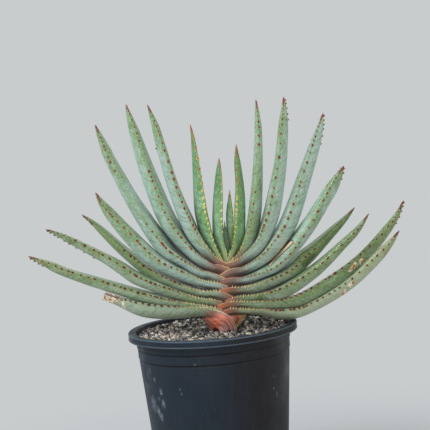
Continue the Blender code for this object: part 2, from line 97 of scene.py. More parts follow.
def linear(code):
    """The linear colour of a hex code written in sRGB."""
    shares = [int(code[i:i + 2], 16) / 255 for i in (0, 2, 4)]
    return (*[s / 12.92 if s <= 0.04045 else ((s + 0.055) / 1.055) ** 2.4 for s in shares], 1.0)


def feed(tree, node, inputs):
    """Links each input named to a socket, or sets it. A string is the hex code of a colour."""
    for name, value in inputs.items():
        if isinstance(value, bpy.types.NodeSocket):
            tree.links.new(value, node.inputs[name])
        else:
            node.inputs[name].default_value = linear(value) if isinstance(value, str) else value


def add_node(tree, kind, inputs=None, stops=(), **settings):
    """Adds a shader node, sets its options and its colour stops, and feeds its inputs."""
    node = tree.nodes.new(f"ShaderNode{kind}")
    for name, value in settings.items():
        setattr(node, name, value)
    for k, (position, code) in enumerate(stops):
        stop = node.color_ramp.elements[k] if k < 2 else node.color_ramp.elements.new(position)
        stop.position = position
        stop.color = linear(code)
    feed(tree, node, inputs or {})
    return node


def within(tree, top, *edges):
    """A share: top, times a smooth step for each edge (value, where the step is 0, where it is 1)."""
    for value, outside, inside in edges:
        bounds = {"Value": value, "From Min": outside, "From Max": inside, "To Min": 0.0, "To Max": top}
        top = add_node(tree, "MapRange", bounds, interpolation_type="SMOOTHSTEP").outputs[0]
    return top


def about(value, centre, core, reach):
    """The two edges of a band round a value, full within core of it and gone beyond reach."""
    return (value, centre - reach, centre - core), (value, centre + reach, centre + core)


def paint(tree, colour, *coats):
    """Lays coats over a colour, from the lowest up: each is its colour, its strength and its edges."""
    for over, top, *edges in coats:
        inputs = {0: within(tree, top, *edges), 6: colour, 7: over}
        colour = add_node(tree, "Mix", inputs, data_type="RGBA").outputs[2]
    return colour


def millimetres(tree, stretch=(1.0, 1.0, 1.0)):
    """Object coordinates in millimetres, stretched along each axis."""
    place = add_node(tree, "TexCoord").outputs["Object"]
    return add_node(tree, "Mapping", {"Vector": place, "Scale": [part / MM for part in stretch]}).outputs[0]


def new_material(name):
    material = bpy.data.materials.new(name)
    material.use_nodes = True
    return material, material.node_tree, material.node_tree.nodes["Principled BSDF"]


def add_piece(bm, name, material, node):
    """Turns a closed bmesh into a piece that rides on the plant and stands for one CAD node."""
    bmesh.ops.recalc_face_normals(bm, faces=bm.faces)
    mesh = bpy.data.meshes.new(name)
    bm.to_mesh(mesh)
    bm.free()
    mesh.materials.append(material)
    piece = bpy.data.objects.new(name, mesh)
    bpy.context.scene.collection.objects.link(piece)
    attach(piece, "root")
    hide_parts(node)
    return piece


def wall_radius(height):
    """Outside radius of the pot's tapering wall at a height."""
    return POT_BASE_RADIUS + (POT_NECK_RADIUS - POT_BASE_RADIUS) * height / NECK_HEIGHT


def corner(radius, height, rounding, start, end, points=6):
    """Points round a corner about a centre, between two angles in degrees."""
    turns = [radians(start + (end - start) * k / (points - 1)) for k in range(points)]
    return [(radius + rounding * cos(turn), height + rounding * sin(turn)) for turn in turns]


def pot_profile():
    """The half-section, from the middle of the floor inside, over the lip, and down the outside."""
    inner, outer = DRAIN_RING
    inside = [(0.0, POT_FLOOR), (inner, POT_FLOOR), (outer, POT_FLOOR)]
    inside += [(wall_radius(z) - POT_WALL, z) for z in (5.0, 40.0, 80.0, 120.0, 150.0)]
    inside += [(wall_radius(NECK_HEIGHT) - POT_WALL, NECK_HEIGHT - 0.5)]
    lip = corner(LIP_INNER_RADIUS, POT_HEIGHT - LIP_INNER_ROUNDING, LIP_INNER_ROUNDING, 180, 90)
    lip += [(LIP_RADIUS - 3.0, POT_HEIGHT + 0.05)]
    lip += corner(LIP_RADIUS - LIP_ROUNDING, POT_HEIGHT - LIP_ROUNDING, LIP_ROUNDING, 90, 0, 8)
    lip += [(LIP_RADIUS - LIP_GROOVE, NECK_HEIGHT + 2.2), (LIP_RADIUS - LIP_GROOVE, NECK_HEIGHT + 1.8)]
    lip += corner(LIP_RADIUS - LIP_EDGE_ROUNDING, NECK_HEIGHT + LIP_EDGE_ROUNDING, LIP_EDGE_ROUNDING, 30, -90)
    lip += corner(POT_NECK_RADIUS + NECK_FILLET, NECK_HEIGHT - NECK_FILLET, NECK_FILLET, 90, 180)
    outside = []
    for drop in STEP_DROPS:
        step = NECK_HEIGHT - drop
        out = wall_radius(step) + STEP_DEPTH / 2
        outside += [(out, step + 2.0), (out, step + 0.6), (out - 0.1, step)]
        outside += [(out - GROOVE_DEPTH, step - GROOVE_WIDTH * share) for share in (1 / 3, 2 / 3)]
        outside += [(wall_radius(step) - STEP_DEPTH / 2, step - GROOVE_WIDTH)]
        outside += [(wall_radius(step - 4.0), step - 4.0)]
    outside += [(wall_radius(z), z) for z in (110.0, 80.0, 50.0, 20.0)]
    foot_radius = wall_radius(POT_FOOT_ROUNDING) - POT_FOOT_ROUNDING
    foot = corner(foot_radius, POT_FOOT_ROUNDING, POT_FOOT_ROUNDING, 0, -90)
    return inside + lip + outside + foot + [(outer, 0.0), (inner, 0.0), (0.0, 0.0)]


def turned(profile, steps):
    """A closed turned solid from a half-section."""
    bm = bmesh.new()
    corners = [bm.verts.new((radius * MM, 0.0, height * MM)) for radius, height in profile]
    edges = [bm.edges.new(pair) for pair in zip(corners, corners[1:])]
    bmesh.ops.spin(bm, geom=corners + edges, axis=(0, 0, 1), cent=(0, 0, 0), angle=2 * pi, steps=steps,
                   use_merge=True)
    bmesh.ops.remove_doubles(bm, verts=bm.verts, dist=WELD * MM)
    return bm


def smooth(piece, sharp_angle=40.0):
    """Smooth shading, with edges sharper than an angle kept crisp."""
    piece.data.polygons.foreach_set("use_smooth", [True] * len(piece.data.polygons))
    piece.data.set_sharp_from_angle(angle=radians(sharp_angle))


def cut_drains(piece):
    """Cuts the drain holes through the floor and keeps the result."""
    bm = bmesh.new()
    for k in range(DRAIN_HOLES):
        turn = 2 * pi * (k + 0.5) / DRAIN_HOLES
        place = Matrix.Translation((DRAIN_CIRCLE * MM * cos(turn), DRAIN_CIRCLE * MM * sin(turn), 0.0))
        bmesh.ops.create_cone(bm, cap_ends=True, segments=32, radius1=DRAIN_RADIUS * MM,
                              radius2=DRAIN_RADIUS * MM, depth=CUTTER_LENGTH * MM, matrix=place)
    mesh = bpy.data.meshes.new("drain_cutter")
    bm.to_mesh(mesh)
    bm.free()
    cutter = bpy.data.objects.new("drain_cutter", mesh)
    bpy.context.scene.collection.objects.link(cutter)
    cut = piece.modifiers.new("drains", "BOOLEAN")
    cut.operation = "DIFFERENCE"
    cut.solver = "EXACT"
    cut.object = cutter
    finished = bpy.data.meshes.new_from_object(piece.evaluated_get(bpy.context.evaluated_depsgraph_get()))
    piece.modifiers.clear()
    piece.data = finished
    bpy.data.objects.remove(cutter, do_unlink=True)


def pot_plastic():
    """Blow-moulded polypropylene: a low soft sheen on black, dulled by dust, with painted highlights on the
    lip.
    """
    material, tree, shader = new_material("black_polypropylene")
    place = millimetres(tree)
    squashed = millimetres(tree, (1.0, 1.0, LIME_SQUASH))
    x, _, z = add_node(tree, "SeparateXYZ", {0: place}).outputs
    flat = millimetres(tree, (1.0, 1.0, 0.0))
    out = add_node(tree, "VectorMath", {0: flat}, operation="LENGTH").outputs["Value"]
    cloud, speck, scuff, skin, streak, flake = (
        add_node(tree, "TexNoise", {"Vector": where, "Scale": 1 / size, "Detail": detail,
                                    "Roughness": roughness}).outputs[0]
        for where, size, detail, roughness in (
            (place, 38.46, 3.0, 0.55),        # clouds of dust
            (place, 1.1111, 2.0, 0.55),       # specks of grit dust
            (place, 11.111, 5.0, 0.55),       # scuffed patches
            (place, 3.125, 3.0, 0.55),        # the slight ripple of a blown wall
            (millimetres(tree, (1.0, 1.0, 0.04)), 3.8462, 3.0, 0.55),    # streaks of running water
            (squashed, 1.9231, 5.0, 0.75),    # flaking lime
        ))
    coats = [
        ("202d3a", cloud),
        # The right side is painted darker and browner as a painted reflection of the room, hiding the clouds
        # of dust
        ("171619", 1.0, (x, -5.0, 45.0)),
        ("38383a", 0.28, (streak, 0.5, 0.8)),
        # Scuffed under the lip at the left
        ("66727b", 0.28, (x, -60.0, -72.0), (z, NECK_HEIGHT - 1, NECK_HEIGHT - 3), (scuff, 0.42, 0.62)),
        ("8b8c88", 0.35, (speck, 0.70, 0.76)),
    ]
    # Painted highlights along both edges of the lip
    for height, reach in ((POT_HEIGHT - 0.6, LIP_RADIUS - 1.2), (NECK_HEIGHT + 0.7, LIP_RADIUS - 0.6)):
        edges = (*about(z, height, 0.4, 1.0), (streak, 0.1, 0.5), (out, reach - 0.3, reach))
        coats.append(("4f5e6a", 0.75, *edges))
    # Painted shade in the grooves under the steps
    for drop in STEP_DROPS:
        coats.append(("060709", 1.0, *about(z, NECK_HEIGHT - drop - GROOVE_WIDTH / 2, 0.48, 1.2)))
    for across, height, radius, strength in LIME_MARKS:
        spot = (across, -(wall_radius(height) ** 2 - across ** 2) ** 0.5, height * LIME_SQUASH)
        away = add_node(tree, "VectorMath", {0: squashed, 1: spot}, operation="DISTANCE").outputs["Value"]
        coats.append(("9fb0bb", strength, (away, 1.1 * radius, 0.1 * radius), (flake, 0.40, 0.62)))
    feed(tree, shader, {
        "Base Color": paint(tree, "131c27", *coats),
        "Roughness": within(tree, 0.56, (cloud, 0.0, 0.6)),
        "Specular IOR Level": 0.3,
        "Normal": add_node(tree, "Bump", {"Height": skin, "Distance": 0.1 * MM}).outputs[0],
    })
    return material


pot = add_piece(turned(pot_profile(), POT_STEPS), "aloe_pot", pot_plastic(), "pot")
cut_drains(pot)
smooth(pot)

# Grit
# A plug of loose mineral grit that fills the pot to just under the lip: a turned plug with an uneven top, and
# some thousands of angular grains bedded in that top. It stands on the pot's floor and holds the stem.
SEED = 7
GRIT_LEVEL = 158.3
GRIT_RELIEF = 1.1
GRIT_SLOPE = 0.025            # it lies higher towards the back
GRIT_GAP = 0.3
GRIT_STEPS = 96
GRIT_RINGS = 30
GRAINS = 4600
GRAIN_SIZES = (0.7, 2.5)
SMALLER_GRAINS = 1.8          # above 1, more of the grains are small
GRAIN_ROUGHNESS = 0.16
BARE_RADIUS = 12.6            # grains keep this far from the stem's axis
STEM_FOOT_X = 10.5
# Dark, middling and pale stones, as shares of all the grains
TONES = (
    ("121216", 0.22),
    ("404147", 0.20),
    ("706e6d", 0.20),
    ("989089", 0.16),
    ("c6b49c", 0.12),
    ("f2e8d8", 0.10),
)
GRAINS_AT_ONCE = 60


def grit_height(x, y):
    """Height of the uneven top at a place."""
    rolling = noise.noise(Vector((x * 0.05, y * 0.05, 3.1)))
    rough = noise.noise(Vector((x * 0.3, y * 0.3, 9.4)))
    return GRIT_LEVEL + GRIT_SLOPE * y + GRIT_RELIEF * (rolling + 0.5 * rough)


def add_grain(bm, tone, rim, draw):
    """One angular grain, at a free place on the top. Grains in front and to the left are paler, as painted
    light.
    """
    small, large = GRAIN_SIZES
    while True:
        reach = (rim - 0.4) * draw.random() ** 0.5
        turn = draw.random() * 2 * pi
        x, y = reach * cos(turn), reach * sin(turn)
        size = small + (large - small) * draw.random() ** SMALLER_GRAINS
        if hypot(x - STEM_FOOT_X, y) > BARE_RADIUS + size * 0.4 and reach + size < rim + 0.6:
            break
    shape = Matrix.Diagonal((*draw.uniform(0.6, 1.2, 3), 1.0))
    facing = Matrix.Rotation(draw.uniform(0, pi), 4, Vector(draw.normal(0, 1, 3)).normalized())
    place = Vector((x, y, grit_height(x, y) + size * draw.uniform(0.0, 0.6))) * MM
    made = bmesh.ops.create_icosphere(bm, subdivisions=1, radius=size * MM,
                                      matrix=Matrix.Translation(place) @ facing @ shape)
    # Painted light: the paler stones are picked more often in front and to the left, where the lamps shine
    paler_by_painted_light = 0.55 - 0.010 * x - 0.007 * y
    pick = draw.random() ** (1.6 - min(1.1, max(0.0, paler_by_painted_light)))
    for vert in made["verts"]:
        vert.co += Vector(draw.uniform(-GRAIN_ROUGHNESS, GRAIN_ROUGHNESS, 3)) * size * MM
        vert[tone] = pick


def grit_bmesh():
    low = POT_FLOOR + GRIT_GAP
    inset = POT_WALL + GRIT_GAP
    rim = wall_radius(GRIT_LEVEL) - inset
    profile = [(rim * k / GRIT_RINGS, GRIT_LEVEL) for k in range(GRIT_RINGS + 1)]
    profile += [(wall_radius(z) - inset, z) for z in (120.0, 80.0, 40.0, low + 3.0)]
    profile += [(wall_radius(low) - inset - 3.0, low), (0.0, low)]
    bm = turned(profile, GRIT_STEPS)
    tone = bm.verts.layers.float.new("tone")
    for vert in bm.verts:
        vert[tone] = 0.05
        if abs(vert.co.z - GRIT_LEVEL * MM) < 0.1 * MM and vert.co.xy.length < (rim - 1.0) * MM:
            vert.co.z = grit_height(vert.co.x / MM, vert.co.y / MM) * MM
    draw = np.random.default_rng(SEED)
    for _ in range(GRAINS // GRAINS_AT_ONCE):
        handful = bmesh.new()
        tone = handful.verts.layers.float.new("tone")
        for _ in range(GRAINS_AT_ONCE):
            add_grain(handful, tone, rim, draw)
        mesh = bpy.data.meshes.new("handful")
        handful.to_mesh(mesh)
        handful.free()
        bm.from_mesh(mesh)
        bpy.data.meshes.remove(mesh)
    return bm


def grit_stone():
    """Crushed stone chips: matt and dusty, each with its own tone."""
    material, tree, shader = new_material("dark_grit")
    tone = add_node(tree, "Attribute", attribute_name="tone").outputs["Fac"]
    stops = [(sum(share for _, share in TONES[:k]), code) for k, (code, _) in enumerate(TONES)]
    stones = add_node(tree, "ValToRGB", {"Fac": tone}, stops)
    stones.color_ramp.interpolation = "CONSTANT"
    # Real dust is finer than 0.1 mm, so it is drawn as coarse as it needs to show
    pattern = {"Vector": millimetres(tree), "Scale": 1 / 0.71429, "Detail": 3.0, "Roughness": 0.55}
    dust = add_node(tree, "TexNoise", pattern).outputs[0]
    feed(tree, shader, {
        "Base Color": paint(tree, stones.outputs[0], ("8c8378", 0.3, (dust, 0.4, 0.7))),
        "Roughness": 0.85,
        "Normal": add_node(tree, "Bump", {"Height": dust, "Distance": 0.2 * MM}).outputs[0],
    })
    return material


add_piece(grit_bmesh(), "aloe_grit", grit_stone(), "soil")

# Stem
# The short leaning stem with the oldest leaf sheaths wrapped round it, a fleshy skin that dries orange and
# dark red along its seams. It is one turned surface, widening like a cup under the lowest leaves.
STEM_ROWS = (
    # height, centre x, radius
    (129.5, 10.5, 12.5),
    (157.0, 10.7, 12.6),
    (160.0, 11.0, 13.3),
    (163.0, 11.4, 15.1),
    (166.0, 12.1, 17.6),
    (169.0, 12.7, 20.2),
    (171.5, 13.0, 21.6),
    (173.2, 13.1, 22.1),
    (174.6, 13.2, 21.0),
    (176.0, 13.2, 17.0),
    (186.0, 14.5, 12.5),
    (205.0, 17.0, 11.5),
    (219.0, 18.8, 8.0),
    (226.0, 20.0, 5.0),
    (231.0, 21.0, 3.0),
    (237.6, 22.2, 1.5),
)
STEM_AROUND = 144
STEM_UP = 150
SEAMS = 15
SEAM_TURN = 6.5               # how far a seam drops while it moves one seam along
SEAM_TOP = 177.0
SEAM_FOOT = 157.0
SEAM_FADE = 4.0               # height over which the seams come in above their foot
SEAM_WIDTH = 0.15             # half a seam's width, as a share of the way to the next
SEAM_WANDER = 0.25
SEAM_DEPTH = 1.2
SHEATH_LIFT = 0.7             # how far a sheath's edge stands out over the next
TURNS_OF_SKIN = (
    # share of a turn from the right, anticlockwise seen from above, and the skin's colour there
    (0.0, "8c7a5c"),
    (0.54, "7c574a"),
    (0.62, "a4725f"),
    (0.65, "dc7658"),
    (0.68, "ff9272"),
    (0.76, "ffb8a2"),
    (0.82, "dc9674"),
    (0.85, "8e4a22"),
    (0.87, "d9a868"),
    (0.91, "e2cfa6"),
)
HOLLOW = (2.6, -12.5, 160.6)  # a dark rotted spot at the foot


def stem_at(height):
    """The stem's centre x and radius at a height."""
    heights, centres, radii = zip(*STEM_ROWS)
    return np.interp(height, heights, centres), np.interp(height, heights, radii)


def stem_bmesh():
    bm = bmesh.new()
    bmesh.ops.create_grid(bm, x_segments=STEM_AROUND, y_segments=STEM_UP, size=0.5)
    sheath = bm.verts.layers.float_vector.new("sheath")
    low, high = STEM_ROWS[0][0], STEM_ROWS[-1][0]
    for vert in bm.verts:
        column = round((vert.co.x + 0.5) * STEM_AROUND) % STEM_AROUND
        share = vert.co.y + 0.5
        height = low + (high - low) * share
        turn = 2 * pi * column / STEM_AROUND
        centre, radius = stem_at(height)
        wander = SEAM_WANDER * noise.noise(Vector((cos(turn) * 2, sin(turn) * 2, height * 0.12)))
        seam = (SEAMS * column / STEM_AROUND - (SEAM_TOP - height) / SEAM_TURN + wander) % 1.0
        depth = max(0.0, 1 - min(seam, 1 - seam) / SEAM_WIDTH)
        if height < SEAM_TOP:
            shown = min(1.0, max(0.0, (height - SEAM_FOOT) / SEAM_FADE))
            radius += shown * (SHEATH_LIFT * seam - SEAM_DEPTH * depth ** 1.5)
        vert.co = Vector((centre + radius * cos(turn), radius * sin(turn), height)) * MM
        vert[sheath] = (column / STEM_AROUND, height, depth)
    bmesh.ops.remove_doubles(bm, verts=bm.verts, dist=WELD * MM)
    bmesh.ops.holes_fill(bm, edges=[edge for edge in bm.edges if edge.is_boundary])
    return bm


def total(tree, start, *terms):
    """A sum: the start, and the product of each pair."""
    for value, weight in terms:
        start = add_node(tree, "Math", {0: value, 1: weight, 2: start}, operation="MULTIPLY_ADD").outputs[0]
    return start


def stem_skin():
    """Fleshy leaf sheath: satin, salmon in front, brown at the left, tan at the right, pale at the grit."""
    material, tree, shader = new_material("stem_sheath")
    sheath = add_node(tree, "Attribute", attribute_name="sheath").outputs["Vector"]
    turn, height, seam = add_node(tree, "SeparateXYZ", {0: sheath}).outputs
    place = millimetres(tree)
    pattern = {"Vector": place, "Scale": 1 / 3.8462, "Detail": 4.0, "Roughness": 0.55}
    mottle = add_node(tree, "TexNoise", pattern).outputs[0]
    skin = add_node(tree, "ValToRGB", {"Fac": turn}, TURNS_OF_SKIN).outputs[0]
    away = add_node(tree, "VectorMath", {0: place, 1: HOLLOW}, operation="DISTANCE").outputs["Value"]
    frayed = total(tree, away, (mottle, -3.0))
    colour = paint(
        tree, skin,
        ("c4583c", 0.35, (mottle, 0.5, 0.75)),
        # Painted shade under the leaves, and dark red along the seams
        ("7e4027", 0.65, (height, 169.0, 175.0)),
        ("6a160f", 0.9, (seam, 0.35, 0.80)),
        # Pale where the front comes out of the grit
        ("ffc6c0", 1.0, (turn, 0.69, 0.71), (turn, 0.86, 0.83), (height, 166.0, 164.4), (seam, 0.9, 0.55)),
        # Green among the youngest leaves
        ("3f4a30", 1.0, (height, 190.0, 215.0)),
        ("20110e", 0.95, (frayed, 3.6, 1.6)),
    )
    feed(tree, shader, {
        "Base Color": colour,
        "Roughness": 0.45,
        "Normal": add_node(tree, "Bump", {"Height": mottle, "Distance": 0.2 * MM}).outputs[0],
    })
    return material


smooth(add_piece(stem_bmesh(), "aloe_stem", stem_skin(), "stem"), 70.0)

# Leaves
# Thick fleshy leaves with a waxy skin, in two flat ranks whose bases clasp the stem, the older ones over the
# younger as a braid. Each leaf is a grid wrapped round a smooth line from the stem's far side out to the tip,
# and its teeth are small cones bedded in both margins.
LEFT, RIGHT = -1, 1
AROUND_TOP = 16
AROUND_UNDER = 22
AROUND = AROUND_TOP + AROUND_UNDER
STATIONS = 110
FINE_STEPS = 240
CURVE_STEPS = 24
CROWDING = 1.15               # above 1, stations lie closer together towards the tip
CLASP_ROWS = (
    # height and radius of the stem that the bases clasp
    (157.0, 12.5),
    (166.0, 16.1),
    (171.5, 18.6),
    (173.2, 18.8),
    (176.0, 14.0),
    (186.0, 12.5),
    (205.0, 11.5),
    (219.0, 9.5),
    (229.0, 7.0),
    (234.0, 6.2),
)
COLLAR = 3.2                  # how far a clasping base stands out from the stem
COLLAR_SHARE = 0.2            # share of the leaf's length that the base takes up
OLDEST_COLLAR_SHARE = 0.36
COLLAR_SQUARE = 1.5           # above 0, the base's underside is squarer
OVERLAP_STEP = 0.32           # how much further out each older base lies than the next younger one
MIDDLE_AGE = 7                # the base that lies at the collar's own distance
OLDEST_TUCK = 4.0             # how far the oldest base sinks back to the stem at its foot
OLDEST_TUCK_LENGTH = 18.0
SHEATH_DEPTH = 4.0            # how far a clasping base reaches down under the next older one
SHEATH_SHARE = 0.09
SHEATHED_AGE = 3              # bases from this age on reach down in full
LEAST_CLASP = 2.0
BASE_STEPS = 60               # the leaf's line crosses the stem's axis within these
WIDEST = 0.22                 # share of the length from which the blade narrows
NARROW_LATE = 1.7             # above 1, it narrows late
NARROW_BLUNT = 0.72           # below 1, its end is blunt
CUT_SHARE = 0.82              # how much of the narrowing a cut leaf goes through
TIP_SHARE = 0.14              # share of the length over which the tip thins out
TIP_FULLNESS = 0.7
CHANNEL = 0.12                # depth of the hollow along the top, as a share of the thickness
MARGIN_PLACES = (0.0, 0.05, 0.2, 0.4, 0.65, 0.9)    # the first two are in the base, with the margin on top
MARGIN_RIDGE = 0.21
RIDGED_THICKNESS = 6.0        # below this the ridge grows slighter
RIPPLES_PER_MM = 0.09
RIPPLE_HEIGHT = 0.05          # as a share of the thickness
RIPPLE_WIDTH = 0.03
BASE_TWIST = -6.0             # the clasping bases turn their near margin up by this much
TWIST_SHARE = 0.3
CROWN_ROOT = 5.0              # leaves no thicker than this at their root don't clasp the stem
CROWN_WIDTH = 0.7

